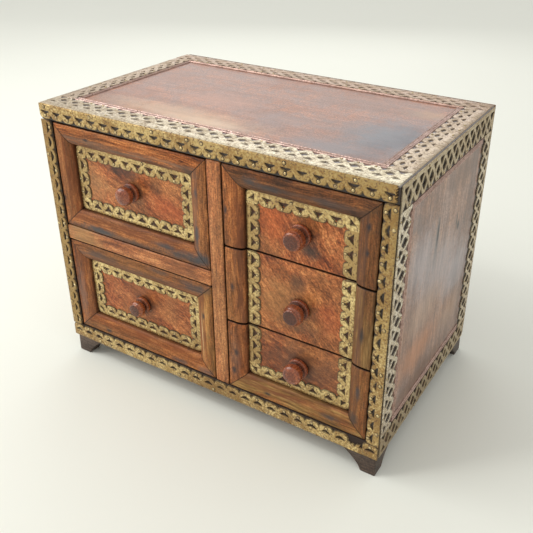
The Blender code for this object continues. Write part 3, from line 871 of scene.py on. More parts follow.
class Effects:
    """Node groups that the finishes share, each built once."""

    def __init__(self) -> None:
        """Build every group."""
        self.grain = self._grain()
        self.wear = self._wear()
        self.inset = self._inset()
        self.patina = self._patina()
        self.smudge = self._smudge()

    @staticmethod
    def _open(name: str, **inputs: str) -> tuple[Graph, dict[str, Socket]]:
        """Start a group with inputs of the given socket kinds; returns its graph and its inputs by name."""
        tree = bpy.data.node_groups.new(name, "ShaderNodeTree")
        for socket, kind in inputs.items():
            tree.interface.new_socket(name=socket, in_out="INPUT", socket_type="NodeSocket" + kind)
        entry = tree.nodes.new("NodeGroupInput")
        return Graph(tree), {socket.name: socket for socket in entry.outputs if socket.name}

    @staticmethod
    def _close(graph: Graph, **outputs: Socket) -> bpy.types.NodeTree:
        """Give a group its named value outputs and hand over its tree."""
        for name in outputs:
            graph.tree.interface.new_socket(name=name, in_out="OUTPUT", socket_type="NodeSocketFloat")
        leave = graph.tree.nodes.new("NodeGroupOutput")
        for name, socket in outputs.items():
            graph.put(leave.inputs[name], socket)
        return graph.tree

    def _grain(self) -> bpy.types.NodeTree:
        """Wood figure along X: broad streaks, narrow ones bent by a slow swirl, fine fibres and open pores."""
        graph, given = self._open("wood_grain", Vector="Vector", Seed="Float")
        vector, seed = given["Vector"], given["Seed"]
        bend = graph.noise(vector, (14.0, 30.0, 30.0), graph.math("ADD", seed, 3.7), 2.0)
        sway = graph.node("ShaderNodeCombineXYZ", X=0.0, Y=graph.math("MULTIPLY", bend, 0.016),
                          Z=graph.math("MULTIPLY", bend, 0.012)).outputs[0]
        swayed = graph.vector("ADD", vector, sway)
        broad = graph.noise(swayed, (8.0, 60.0, 60.0), seed, 4.0, 0.6)
        narrow = graph.noise(swayed, (22.0, 330.0, 330.0), graph.math("ADD", seed, 1.3), 4.0, 0.62)
        fibre = graph.noise(swayed, (60.0, 900.0, 900.0), seed, 3.0, 0.65)
        figure = graph.math("MULTIPLY_ADD", broad, 0.34, graph.math("MULTIPLY", narrow, 0.36))
        figure = graph.math("MULTIPLY_ADD", fibre, 0.3, figure)
        pores = graph.fade(graph.noise(swayed, (110.0, 1500.0, 1500.0), seed, 1.0), 0.6, 0.7)
        relief = graph.math("MULTIPLY_ADD", pores, -0.8, fibre)
        return self._close(graph, Figure=figure, Fibre=fibre, Pores=pores, Relief=relief)

    def _wear(self) -> bpy.types.NodeTree:
        """Wear that ignores the grain: stains, pale rubs, clouds, fine specks, scratches and slow dents."""
        graph, given = self._open("wear", Vector="Vector", Seed="Float")
        vector, seed = given["Vector"], given["Seed"]
        stain = graph.fade(graph.noise(vector, 28.0, seed, 6.0, 0.66, 0.3), 0.53, 0.74)
        rub = graph.fade(graph.noise(vector, 17.0, graph.math("ADD", seed, 11.0), 5.0, 0.6), 0.5, 0.72)
        turned_way = graph.node("ShaderNodeMapping", Vector=vector, Rotation=(0.5, 0.9, 0.6)).outputs[0]
        scratch = graph.fade(graph.noise(turned_way, (22.0, 1300.0, 900.0), seed, 1.0), 0.7, 0.78)
        dent = graph.noise(vector, 65.0, graph.math("ADD", seed, 5.0), 3.0)
        cloud = graph.fade(graph.noise(vector, 55.0, graph.math("ADD", seed, 8.0), 6.0, 0.7, 0.5), 0.42, 0.6)
        speck = graph.fade(graph.noise(vector, 620.0, graph.math("ADD", seed, 2.0), 3.0, 0.7), 0.34, 0.66)
        return self._close(graph, Stain=stain, Rub=rub, Cloud=cloud, Speck=speck, Scratch=scratch, Dent=dent)

    def _inset(self) -> bpy.types.NodeTree:
        """How far a point lies inside a box: from the faces across X, Y and Z, and from the nearest edge."""
        graph, given = self._open("inset", Vector="Vector", Centre="Vector", Half="Vector")
        reach = graph.vector("ABSOLUTE", graph.vector("SUBTRACT", given["Vector"], given["Centre"]))
        x, y, z = graph.split(graph.vector("SUBTRACT", given["Half"], reach))
        pairs = [graph.math("MAXIMUM", first, second) for first, second in ((x, y), (y, z), (x, z))]
        edge = graph.math("MINIMUM", pairs[0], graph.math("MINIMUM", pairs[1], pairs[2]))
        return self._close(graph, X=x, Y=y, Z=z, Edge=edge)

    def _patina(self) -> bpy.types.NodeTree:
        """Age of brass: cloudy tarnish, wide patches, mottling, dark specks, and dirt that gathers by a rim, which
        on the skirts and hole floors is painted shade.
        """
        graph, given = self._open("patina", Vector="Vector", Rim="Float", Seed="Float")
        vector, seed = given["Vector"], given["Seed"]
        cloud = graph.noise(vector, 70.0, seed, 4.0, 0.62)
        fine = graph.noise(vector, 420.0, seed, 3.0, 0.6)
        wide = graph.noise(vector, 19.0, graph.math("ADD", seed, 4.0), 5.0, 0.7, 0.4)
        dots = graph.noise(vector, 430.0, graph.math("ADD", seed, 2.0), 4.0, 0.62)
        clouds = graph.math("MULTIPLY_ADD", fine, 0.4, graph.math("MULTIPLY", cloud, 0.6))
        patches = graph.math("MULTIPLY_ADD", fine, 0.3, graph.math("MULTIPLY", wide, 0.7))
        relief = graph.math("MULTIPLY_ADD", cloud, 0.7, graph.math("MULTIPLY", fine, 0.5))
        gathered = graph.fade(cloud, 0.32, 0.6, 0.5, 1.0)
        # Dirt along rims; on the skirts and hole floors, where the rim is 1, it is painted shade.
        dirt = graph.math("MULTIPLY", graph.math("POWER", given["Rim"], 0.75), gathered)
        return self._close(graph, Tarnish=graph.fade(clouds, 0.4, 0.62), Patch=graph.fade(patches, 0.47, 0.58),
                           Mottle=graph.fade(fine, 0.36, 0.64), Specks=graph.fade(dots, 0.52, 0.62), Dirt=dirt,
                           Relief=relief)

    def _smudge(self) -> bpy.types.NodeTree:
        """A ragged oval mark: full near its centre, gone where the distance over its reach passes one."""
        graph, given = self._open("smudge", Vector="Vector", Centre="Vector", Reach="Vector", Ragged="Float",
                                  Seed="Float")
        offset = graph.vector("SUBTRACT", given["Vector"], given["Centre"])
        far = graph.vector("LENGTH", graph.vector("DIVIDE", offset, given["Reach"]), output=1)
        cloud = graph.math("SUBTRACT", graph.noise(given["Vector"], 120.0, given["Seed"], 4.0, 0.62), 0.5)
        far = graph.math("MULTIPLY_ADD", cloud, given["Ragged"], far)
        return self._close(graph, Mask=graph.fade(far, 0.15, 1.15, 1.0, 0.0))


@dataclass(frozen=True)
class Mark:
    """A soft-edged mark on a board: its centre, its reach each way, its colour, strength and raggedness."""

    centre: Triple
    reach: Triple
    colour: Colour
    strength: float = 0.6
    ragged: float = 1.6


@dataclass(frozen=True)
class Cover:
    """Metal over a board's rim: the box it goes round, the two axes across which it covers, and its width.

    Shade is the colour painted on the wood under it as painted shade, seen through the metal's holes and gaps;
    on a top with dust, dust fills its holes on the box's top and its lower front edge is painted black as a
    painted shadow line.
    """

    box: tuple[Vector, Vector]
    axes: str
    width: float
    shade: Colour = (0.02, 0.011, 0.007)
    dust_and_shadow_edge: bool = False


@dataclass(frozen=True)
class WoodFinish:
    """A worn hardwood: its figure from dark to light, a second hue in zones, its wear and its polish."""

    name: str
    slot: str
    dark: Colour
    body: Colour
    light: Colour
    zone: Colour
    zoned: float = 0.5
    stain: Colour = (0.04, 0.022, 0.015)
    stained: float = 0.55
    rubbed: float = 0.3
    clouded: float = 0.25
    roughness: tuple[float, float] = (0.36, 0.58)
    specular: float = 0.32
    coat: float = 0.0
    relief: float = 0.25
    streaked: float = 0.3
    flecked: float = 0.0


TOP_WOOD = WoodFinish("top", "case_wood", (0.26, 0.105, 0.06), (0.345, 0.14, 0.077), (0.44, 0.2, 0.115),
                      (0.235, 0.155, 0.135), 0.45, stain=(0.12, 0.08, 0.07), stained=0.45, rubbed=0.2,
                      clouded=0.75, roughness=(0.3, 0.46), specular=0.5, relief=0.12, streaked=0.08)
SIDE_WOOD = WoodFinish("side", "case_wood", (0.15, 0.075, 0.047), (0.29, 0.155, 0.1), (0.43, 0.245, 0.155),
                       (0.27, 0.205, 0.19), 0.5, stain=(0.11, 0.09, 0.088), stained=0.4, rubbed=0.15,
                       clouded=0.3, roughness=(0.32, 0.48), specular=0.5, relief=0.16, streaked=0.28)
PANEL_WOOD = WoodFinish("panel", "front_wood", (0.12, 0.024, 0.008), (0.345, 0.087, 0.023), (0.58, 0.215, 0.072),
                        (0.44, 0.19, 0.062), 0.55, stained=0.5, clouded=0.2, flecked=0.35)
MOULDING_WOOD = WoodFinish("moulding", "front_wood", (0.09, 0.025, 0.009), (0.34, 0.1, 0.027),
                           (0.56, 0.22, 0.068), (0.27, 0.115, 0.043), 0.6, stain=(0.05, 0.036, 0.03),
                           stained=0.75, clouded=0.3, specular=0.16, streaked=0.4)
RAIL_WOOD = WoodFinish("rail", "case_wood", (0.185, 0.05, 0.016), (0.405, 0.128, 0.039), (0.63, 0.27, 0.103),
                       (0.38, 0.18, 0.062), 0.6, stained=0.5)
FOOT_WOOD = WoodFinish("foot", "foot_wood", (0.036, 0.023, 0.017), (0.074, 0.046, 0.033), (0.125, 0.085, 0.064),
                       (0.08, 0.066, 0.054), stained=0.4, roughness=(0.45, 0.62))
KNOB_WOOD = WoodFinish("knob", "knob_wood", (0.11, 0.022, 0.009), (0.27, 0.062, 0.021), (0.42, 0.125, 0.042),
                       (0.2, 0.06, 0.028), stained=0.4, roughness=(0.24, 0.4), specular=0.25, coat=0.8)
INNER_WOOD = WoodFinish("inner", "inner_wood", (0.2, 0.1, 0.045), (0.34, 0.19, 0.095), (0.46, 0.29, 0.155),
                        (0.3, 0.2, 0.12), stained=0.3, roughness=(0.6, 0.8))
BACK_WOOD = WoodFinish("back", "case_wood", (0.085, 0.042, 0.022), (0.17, 0.088, 0.046), (0.26, 0.15, 0.085),
                       (0.16, 0.105, 0.07), stained=0.6, roughness=(0.55, 0.75))


@dataclass(frozen=True)
class MetalFinish:
    """An old sheet metal: its clean colour, a second one by tone, its tarnish, its dirt, which is also painted
    shade on the skirts and hole floors, and how dull it is.
    """

    name: str
    slot: str
    clean: Colour
    other: Colour
    tarnished: Colour
    dirt: Colour = (0.04, 0.024, 0.012)
    rusted: Colour = (0.2, 0.12, 0.07)
    patch: Colour = (0.3, 0.165, 0.066)
    patched: float = 0.3
    soiled_and_shaded: float = 0.9
    dulled: float = 0.75
    roughness: tuple[float, float] = (0.34, 0.52)


STRIP_BRASS = MetalFinish("front_brass", "strip_brass", (0.86, 0.665, 0.325), (0.39, 0.265, 0.11),
                          (0.4, 0.255, 0.095), rusted=(0.13, 0.06, 0.026), patched=0.8, roughness=(0.3, 0.5))
BORDER_BRASS = MetalFinish("border_brass", "strip_brass", (0.88, 0.7, 0.34), (0.5, 0.35, 0.16),
                           (0.46, 0.31, 0.13), rusted=(0.15, 0.07, 0.032), patched=0.5, roughness=(0.3, 0.5))
TOP_BRASS = MetalFinish("top_brass", "lattice_brass", (0.9, 0.83, 0.64), (0.45, 0.31, 0.245),
                        (0.5, 0.41, 0.29), dirt=(0.15, 0.115, 0.09), soiled_and_shaded=0.7, dulled=0.45)
SIDE_BRASS = MetalFinish("side_brass", "lattice_brass", (0.92, 0.835, 0.69), (0.47, 0.365, 0.205),
                         (0.5, 0.4, 0.26), dirt=(0.035, 0.024, 0.016), soiled_and_shaded=0.85, dulled=0.6)
NAIL_BRASS = MetalFinish("nail_brass", "strip_brass", (0.76, 0.6, 0.31), (0.76, 0.6, 0.31),
                         (0.52, 0.37, 0.17), soiled_and_shaded=0.97, dulled=0.4, roughness=(0.32, 0.46))
BEAD_COPPER = MetalFinish("bead_copper", "lattice_brass", (0.72, 0.53, 0.47), (0.5, 0.32, 0.25),
                          (0.5, 0.32, 0.27), dirt=(0.2, 0.115, 0.095), soiled_and_shaded=0.7, dulled=0.5)


@dataclass(frozen=True)
class KnobShape:
    """A turned knob: how far it stands out, its largest radius, how far its end is rounded off, and its wood.

    The cove behind the barrel and the pale line on the ring are measured from the panel.
    """

    length: float
    girth: float
    domed: float = 0.0
    wood: WoodFinish = KNOB_WOOD
    cove: float = 0.0068
    line: float = 0.005


def new_material(name: str) -> tuple[bpy.types.Material, Graph, bpy.types.Node, Socket]:
    """A new material, its graph, its Principled shader and its Object coordinates."""
    material = bpy.data.materials.new(name)
    material.use_nodes = True
    graph = Graph(material.node_tree)
    shader = material.node_tree.nodes["Principled BSDF"]
    return material, graph, shader, graph.node("ShaderNodeTexCoord").outputs["Object"]


class Finisher:
    """Builds materials from finishes."""

    def __init__(self) -> None:
        """Build the shared effects."""
        self.effects = Effects()

    def _wood_surface(self, graph: Graph, shader: bpy.types.Node, finish: WoodFinish, along_grain: Socket,
                      place: Socket, seed: float) -> tuple[Socket, Socket]:
        """Join a wood's figure and wear to its shader.

        Args:
            graph: The material's graph.
            shader: Its Principled shader.
            finish: The wood.
            along_grain: Coordinates with the grain along X.
            place: Object coordinates.
            seed: What sets this board apart from others.

        Returns:
            The colour, before marks that belong to one piece, and streaks about a middle grey.
        """
        grain = graph.group(self.effects.grain, Vector=along_grain, Seed=seed).outputs
        wear = graph.group(self.effects.wear, Vector=place, Seed=seed).outputs
        colour = graph.ramp(grain["Figure"], [(0.4, finish.dark), (0.5, finish.body), (0.61, finish.light)])
        zone = graph.fade(graph.noise(along_grain, (7.0, 26.0, 26.0), seed + 7.0, 3.0, 0.55), 0.44, 0.62)
        second = graph.mix(graph.fade(grain["Figure"], 0.36, 0.64, 0.55, 0.0), finish.zone, finish.dark)
        colour = graph.layers(
            colour, (zone, finish.zoned, second), (wear["Cloud"], finish.clouded, second),
            (wear["Rub"], finish.rubbed, finish.light), (grain["Pores"], 0.6, finish.stain),
            (wear["Stain"], finish.stained, finish.stain), (wear["Scratch"], 0.3, finish.light))
        colour = graph.mix(0.36, colour, wear["Speck"], "OVERLAY")
        low, high = finish.roughness
        dull = graph.math("MULTIPLY_ADD", wear["Rub"], 0.5, graph.math("MULTIPLY", grain["Fibre"], 0.5))
        graph.put(shader.inputs["Roughness"], graph.fade(dull, 0.0, 0.9, low, high))
        height = graph.math("MULTIPLY_ADD", wear["Dent"], 1.6, grain["Relief"])
        bump = graph.node("ShaderNodeBump", Strength=finish.relief, Distance=0.0006, Height=height)
        graph.put(shader.inputs["Normal"], bump.outputs[0])
        shader.inputs["Specular IOR Level"].default_value = finish.specular
        if finish.coat:
            shader.inputs["Coat Weight"].default_value = finish.coat
            shader.inputs["Coat Roughness"].default_value = 0.1
        return colour, graph.fade(grain["Figure"], 0.38, 0.62, 0.2, 0.8)

    def _marked(self, graph: Graph, colour: Socket, place: Socket, marks: Sequence[Mark],
                seed: float) -> Socket:
        """Lay marks over a colour."""
        for number, mark in enumerate(marks):
            mask = graph.group(self.effects.smudge, Vector=place, Centre=mark.centre, Reach=mark.reach,
                               Ragged=mark.ragged, Seed=seed + 0.7 * number).outputs["Mask"]
            colour = graph.layers(colour, (mask, mark.strength, mark.colour))
        return colour

    def _inset(self, graph: Graph, place: Socket, box: tuple[Vector, Vector]) -> Any:
        """How far a point lies inside a box, by axis and from its nearest edge."""
        low, high = box
        centre, half = (low + high) / 2, (high - low) / 2
        return graph.group(self.effects.inset, Vector=place, Centre=centre, Half=half).outputs

    def _covered(self, graph: Graph, colour: Socket, place: Socket, cover: Cover) -> Socket:
        """Paint shade on the wood under metal; on a top with dust, the top face under the lattice is dust, the
        faces below are dark painted shade, and the lower front edge is a black painted shadow line.
        """
        inset = self._inset(graph, place, cover.box)
        depth = graph.math("MINIMUM", inset[cover.axes[0]], inset[cover.axes[1]])
        shade = cover.shade
        if cover.dust_and_shadow_edge:
            # Dust in the lattice's holes on the top face, dark painted shade below it.
            shade = graph.mix(graph.fade(inset["Z"], 0.0004, 0.0014), (0.28, 0.265, 0.275), shade)
            # A black painted shadow line along the lower front edge, under the front strip.
            shade = graph.mix(graph.fade(inset["Z"], 0.0126, 0.0134), shade, (0.004, 0.003, 0.002))
        return graph.near(colour, depth, cover.width - 0.0006, cover.width, 0.95, shade)

    def board(self, name: str, finish: WoodFinish, grain: Grain, seed: float,
              box: Optional[tuple[Vector, Vector]] = None, marks: Sequence[Mark] = (), tilt: float = 0.0,
              short: float = 1.0, worn: float = 0.35, gap_shade_axes: str = "",
              cover: Optional[Cover] = None) -> bpy.types.Material:
        """Wood of a board.

        Args:
            name: Name of the material.
            finish: The wood.
            grain: The way its grain runs.
            seed: What sets this board apart from others.
            box: Its corners, for wear along its edges.
            marks: Marks on it.
            tilt: Turn of the grain about Y.
            short: How many times shorter than usual its grain is.
            worn: How far its edges are rubbed pale.
            gap_shade_axes: Axes across which its outer faces are painted near black, as painted shade in the gaps.
            cover: Metal over its rim.

        Returns:
            The material.
        """
        material, graph, shader, place = new_material(name)
        turn = (grain.value[0], grain.value[1] + tilt, grain.value[2])
        turned_way = graph.node("ShaderNodeMapping", Vector=place, Rotation=turn).outputs[0]
        if short != 1.0:
            turned_way = graph.vector("MULTIPLY", turned_way, (short, 1.0, 1.0))
        colour, streaks = self._wood_surface(graph, shader, finish, turned_way, place, seed)
        if box:
            inside = self._inset(graph, place, box)
            ragged = graph.noise(place, 140.0, seed, 4.0, 0.65)
            edge = graph.math("MULTIPLY_ADD", ragged, 0.0045, inside["Edge"])
            colour = graph.near(colour, edge, 0.0016, 0.0036, worn, finish.light)
            # Outer faces across these axes are painted near black as painted shade in the gaps.
            for axis in gap_shade_axes:
                face = graph.math("MULTIPLY_ADD", ragged, -0.0006, inside[axis])
                colour = graph.near(colour, face, -0.0006, 0.0005, 1.0, GAP_SHADE)
        colour = self._marked(graph, colour, place, marks, seed)
        colour = graph.mix(finish.streaked, colour, streaks, "OVERLAY")
        if finish.flecked:
            spots = graph.noise(turned_way, (90.0, 700.0, 700.0), seed + 3.0, 2.0)
            colour = graph.mix(finish.flecked, colour, graph.fade(spots, 0.36, 0.64, 0.2, 0.8), "OVERLAY")
        if cover:
            colour = self._covered(graph, colour, place, cover)
        graph.put(shader.inputs["Base Color"], colour)
        return material

    def moulding(self, name: str, finish: WoodFinish, seed: float, width: float,
                 marks: Sequence[Mark]) -> bpy.types.Material:
        """Wood of a moulding: grain along each length, its own marks, dark mitres, a pale line along the crest, a
        slope painted darker as painted shade, and painted shade along its outer edges and its lip.

        Args:
            name: Name of the material.
            finish: The wood.
            seed: What sets this moulding apart from others.
            width: Width of its section.
            marks: Marks on it.

        Returns:
            The material.
        """
        material, graph, shader, place = new_material(name)
        along, across = graph.attribute("along"), graph.attribute("across")
        number, mitre, shade = graph.attribute("number"), graph.attribute("mitre"), graph.attribute("shade")
        lay = graph.node("ShaderNodeCombineXYZ", X=graph.math("MULTIPLY_ADD", number, 0.31, along), Y=across,
                         Z=graph.math("MULTIPLY", number, 0.07)).outputs[0]
        colour, streaks = self._wood_surface(graph, shader, finish, lay, place, seed)
        ragged = graph.noise(place, 160.0, seed, 4.0, 0.65)
        figure = graph.group(self.effects.grain, Vector=lay, Seed=seed + 20.0).outputs["Figure"]
        ochre = graph.ramp(figure, [(0.4, (0.075, 0.04, 0.014)), (0.5, (0.25, 0.135, 0.04)),
                                    (0.6, (0.48, 0.29, 0.1))])
        patch = graph.fade(graph.noise(lay, (16.0, 60.0, 60.0), seed + 9.0, 4.0, 0.65), 0.36, 0.58, 0.35, 1.0)
        colour = graph.layers(colour, (patch, graph.attribute("ochre"), ochre))
        # The slope is painted darker as painted shade, from dark orange to grey-brown as grey rises.
        slope = graph.fade(graph.math("MULTIPLY_ADD", ragged, 0.004, across), 0.0112, 0.0135)
        slope_shade = graph.mix(graph.attribute("grey"), (0.2, 0.052, 0.013), (0.175, 0.115, 0.078))
        fibres = graph.noise(lay, (24.0, 300.0, 300.0), seed + 3.0, 5.0, 0.7)
        colour = graph.layers(colour, (slope, graph.fade(fibres, 0.36, 0.62, 0.1, 0.92), slope_shade))
        crest = graph.math("MULTIPLY_ADD", ragged, 0.0022, graph.apart(across, 0.0092))
        colour = graph.near(colour, crest, 0.0008, 0.0019, 0.35, finish.light)
        colour = graph.mix(graph.math("SUBTRACT", 1.0, shade), colour, (0.04, 0.024, 0.016))
        colour = self._marked(graph, colour, place, marks, seed)
        colour = graph.mix(finish.streaked, colour, streaks, "OVERLAY")
        seam = graph.math("MULTIPLY_ADD", ragged, 0.0006, mitre)
        colour = graph.near(colour, seam, 0.0003, 0.0012, 0.85, (0.016, 0.009, 0.006))
        # The outer sides and ends are painted near black as painted shade in the gaps round the front.
        outer = graph.math("MINIMUM", across, graph.attribute("tail"))
        rim = graph.math("MULTIPLY_ADD", ragged, -0.0008, outer)
        colour = graph.near(colour, rim, -0.0006, 0.0004, 1.0, GAP_SHADE)
        # Painted shade along the lip, where the moulding meets the panel.
        lip = graph.math("SUBTRACT", width, across)
        colour = graph.near(colour, lip, 0.0, 0.0006, 0.5, (0.026, 0.015, 0.01))
        graph.put(shader.inputs["Base Color"], colour)
        return material

    def knob(self, name: str, shape: KnobShape, seed: float) -> bpy.types.Material:
        """Wood of a turned knob: painted shade in the cove and where it meets the panel, a pale ring line, gloss
        on the barrel and a dull end-grain face.

        Args:
            name: Name of the material.
            shape: The knob.
            seed: What sets this knob apart from others.

        Returns:
            The material.
        """
        material, graph, shader, place = new_material(name)
        turned_way = graph.node("ShaderNodeMapping", Vector=place, Rotation=Grain.ALONG_Y.value).outputs[0]
        length, girth, finish = shape.length, shape.girth, shape.wood
        colour, _ = self._wood_surface(graph, shader, finish, turned_way, place, seed)
        out, radius = graph.attribute("out"), graph.attribute("radius")
        # Painted shade in the cove behind the barrel.
        colour = graph.near(colour, graph.apart(out, shape.cove), 0.0002, 0.0014, 0.75, (0.026, 0.013, 0.01))
        colour = graph.near(colour, graph.apart(out, shape.line), 0.0001, 0.0006, 0.15, (0.26, 0.17, 0.14))
        # Painted shade where the knob meets the panel.
        colour = graph.near(colour, out, 0.0008, 0.003, 0.8, (0.022, 0.014, 0.012))
        fibres = graph.noise(place, 420.0, seed, 3.0)
        end_grain = graph.ramp(fibres, [(0.3, (0.034, 0.019, 0.016)), (0.7, (0.066, 0.036, 0.029))])
        face = graph.math("MULTIPLY", graph.fade(out, length - 0.0016, length - 0.0006),
                          graph.fade(radius, 0.66 * girth, 0.8 * girth, 1.0, 0.0))
        colour = graph.layers(colour, (face, 0.9 - 0.6 * shape.domed, end_grain))
        graph.put(shader.inputs["Base Color"], colour)
        polish = graph.math("MULTIPLY", graph.fade(out, 0.0055, 0.0085, 0.15, 1.0),
                            graph.math("MULTIPLY_ADD", face, 0.5 * shape.domed - 0.9, 1.0))
        graph.put(shader.inputs["Coat Weight"], graph.math("MULTIPLY", polish, finish.coat))
        return material

    def metal(self, finish: MetalFinish, seed: float) -> bpy.types.Material:
        """Old sheet metal, clean on its crests, mottled, and darkened by its rims with dirt, and with painted
        shade on the skirts and hole floors.
        """
        material, graph, shader, place = new_material(finish.name)
        age = graph.group(self.effects.patina, Vector=place, Rim=graph.attribute("rim"), Seed=seed).outputs
        colour = graph.layers(
            graph.mix(graph.attribute("tone"), finish.clean, finish.other),
            (age["Tarnish"], finish.dulled, finish.tarnished), (age["Patch"], finish.patched, finish.patch),
            (age["Mottle"], 0.45, finish.tarnished), (age["Specks"], 0.8, finish.rusted),
            (age["Dirt"], finish.soiled_and_shaded, finish.dirt))
        graph.put(shader.inputs["Base Color"], colour)
        soil_and_shade = graph.math("MAXIMUM", age["Dirt"], age["Specks"])
        graph.put(shader.inputs["Metallic"], graph.fade(soil_and_shade, 0.2, 0.9, 0.95, 0.3))
        graph.put(shader.inputs["Roughness"], graph.fade(age["Tarnish"], 0.0, 1.0, *finish.roughness))
        bump = graph.node("ShaderNodeBump", Strength=0.6, Distance=0.0014, Height=age["Relief"])
        graph.put(shader.inputs["Normal"], bump.outputs[0])
        return material


def case_box() -> tuple[Vector, Vector]:
    """Lowest and highest corner of the wooden case without its feet."""
    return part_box("bottom_board")[0].copy(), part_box("top_board")[1].copy()


def thickness(node: str, axis: int) -> float:
    """How thick a packed board is along an axis."""
    low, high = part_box(node)
    return high[axis] - low[axis]


@dataclass
class CaseBoards:
    """The carcass: boards with softened edges, and four bracket feet."""

    finisher: Finisher
    edge: float = 0.0011
    thin_edge: float = 0.0008
    rail_edge: float = 0.002
    foot_toe: float = 0.0165
    foot_power: float = 1.6
    foot_corner: float = 0.11

    def build(self) -> None:
        """Make every board of the case."""
        covered = case_box()
        front_only = (covered[0] - Vector((FAR, 0.0, FAR)), covered[1] + Vector((FAR, FAR, FAR)))
        # Each cover paints shade on the wood under the metal, seen through its holes and gaps.
        top_cover, side_cover = Cover(covered, "XY", 0.0268, dust_and_shadow_edge=True), Cover(covered, "YZ", 0.0262)
        front_cover = Cover(front_only, "YY", 0.002, (0.02, 0.01, 0.007))
        plans = [
            ("top_board", TOP_WOOD, Grain.ALONG_X, self.edge, top_cover, self.top_marks()),
            ("left_side", SIDE_WOOD, Grain.ALONG_Z, self.edge, side_cover, self.side_marks(-1.0)),
            ("right_side", SIDE_WOOD, Grain.ALONG_Z, self.edge, side_cover, self.side_marks(1.0)),
            ("bottom_board", BACK_WOOD, Grain.ALONG_X, self.edge, front_cover, ()),
            ("back_panel", BACK_WOOD, Grain.ALONG_Z, self.thin_edge, None, ()),
            ("centre_divider", RAIL_WOOD, Grain.ALONG_Z, self.rail_edge, None, ()),
            ("left_rail", RAIL_WOOD, Grain.ALONG_X, self.rail_edge, None, self.rail_marks()),
        ]
        # The divider's sides and the rail's faces above and below are painted black as painted shade in the gaps.
        gap_shade_axes = {"centre_divider": "X", "left_rail": "Z"}
        for number, (node, finish, grain, radius, cover, marks) in enumerate(plans):
            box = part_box(node)
            material = self.finisher.board(node + "_finish", finish, grain, 1.0 + 2.3 * number, box, marks,
                                           gap_shade_axes=gap_shade_axes.get(node, ""), cover=cover)
            board = rounded_board(*box, radius)
            make_piece(node.replace("_", "-"), board, "case", material, finish.slot, [node])
        self.feet()

    @staticmethod
    def rail_marks() -> Sequence[Mark]:
        """Ochre wood at the rail's left end and a dark smear at its right."""
        return (Mark((-0.165, -0.115, 0.166), (0.03, 0.05, 0.05), (0.36, 0.19, 0.065), 0.7),
                Mark((-0.03, -0.115, 0.166), (0.03, 0.05, 0.05), (0.2, 0.07, 0.026), 0.5))

    @staticmethod
    def top_marks() -> Sequence[Mark]:
        """Yellow streaks by the front, a bluish-grey painted sheen to the right and darker colour at the back."""

        def spot(x: float, y: float, wide: float, deep: float, colour: Colour, strength: float = 0.5,
                 ragged: float = 1.6) -> Mark:
            """A mark on the top's face."""
            return Mark((x, y, 0.311), (wide, deep, 0.05), colour, strength, ragged)

        return (spot(-0.06, -0.066, 0.12, 0.026, (0.56, 0.35, 0.205), 0.6, 0.9),
                spot(-0.02, -0.076, 0.06, 0.014, (0.66, 0.47, 0.31), 0.6, 0.9),
                spot(-0.135, -0.03, 0.04, 0.022, (0.27, 0.11, 0.065), 0.5, 0.9),
                spot(-0.05, -0.012, 0.06, 0.035, (0.45, 0.215, 0.14), 0.5),
                spot(-0.145, 0.035, 0.035, 0.035, (0.21, 0.09, 0.058), 0.5),
                spot(0.035, -0.03, 0.05, 0.024, (0.235, 0.165, 0.15), 0.5),
                # The two bluish-grey spots to the right are painted sheen.
                spot(0.15, -0.02, 0.06, 0.07, (0.14, 0.15, 0.172), 0.9, 0.9),
                spot(0.115, -0.072, 0.06, 0.02, (0.18, 0.165, 0.175), 0.7, 0.9),
                spot(0.155, 0.06, 0.035, 0.016, (0.38, 0.225, 0.12), 0.6),
                spot(-0.06, 0.095, 0.14, 0.014, (0.16, 0.055, 0.03), 0.4),
                spot(0.09, 0.07, 0.1, 0.04, (0.2, 0.095, 0.06), 0.4))

    @staticmethod
    def side_marks(way: float) -> Sequence[Mark]:
        """A pale grey painted sheen across the middle, warmer wood below, two cracks and a knot."""
        crack, painted_sheen = (0.012, 0.012, 0.014), (0.42, 0.385, 0.4)

        def spot(y: float, z: float, deep: float, tall: float, colour: Colour, strength: float = 0.6,
                 ragged: float = 0.8) -> Mark:
            """A mark on the side's face."""
            return Mark((0.2 * way, y, z), (0.05, deep, tall), colour, strength, ragged)

        # The three pale grey spots across the middle are painted sheen, a painted reflection.
        return (spot(-0.05, 0.212, 0.05, 0.042, painted_sheen, 0.65),
                spot(0.005, 0.178, 0.075, 0.04, painted_sheen, 0.6),
                spot(0.06, 0.148, 0.055, 0.038, painted_sheen, 0.7),
                spot(-0.03, 0.145, 0.055, 0.028, (0.47, 0.31, 0.22), 0.6),
                spot(-0.035, 0.102, 0.065, 0.026, (0.48, 0.21, 0.1), 0.8),
                spot(0.06, 0.098, 0.04, 0.03, (0.42, 0.26, 0.17), 0.6),
                spot(-0.02, 0.064, 0.1, 0.014, (0.15, 0.07, 0.04), 0.75),
                spot(0.05, 0.266, 0.06, 0.018, (0.14, 0.075, 0.048), 0.6),
                spot(-0.065, 0.255, 0.018, 0.014, (0.17, 0.135, 0.125), ragged=1.6),
                spot(-0.0125, 0.212, 0.006, 0.038, (0.17, 0.165, 0.17), 0.75, 0.9),
                spot(-0.0112, 0.2235, 0.0038, 0.02, crack, 1.0, 0.6),
                spot(0.05, 0.206, 0.005, 0.008, crack, 1.0, 0.7),
                spot(0.044, 0.213, 0.0026, 0.015, crack, 0.9, 0.7),
                spot(0.009, 0.116, 0.0016, 0.028, crack, 0.5, 0.7))

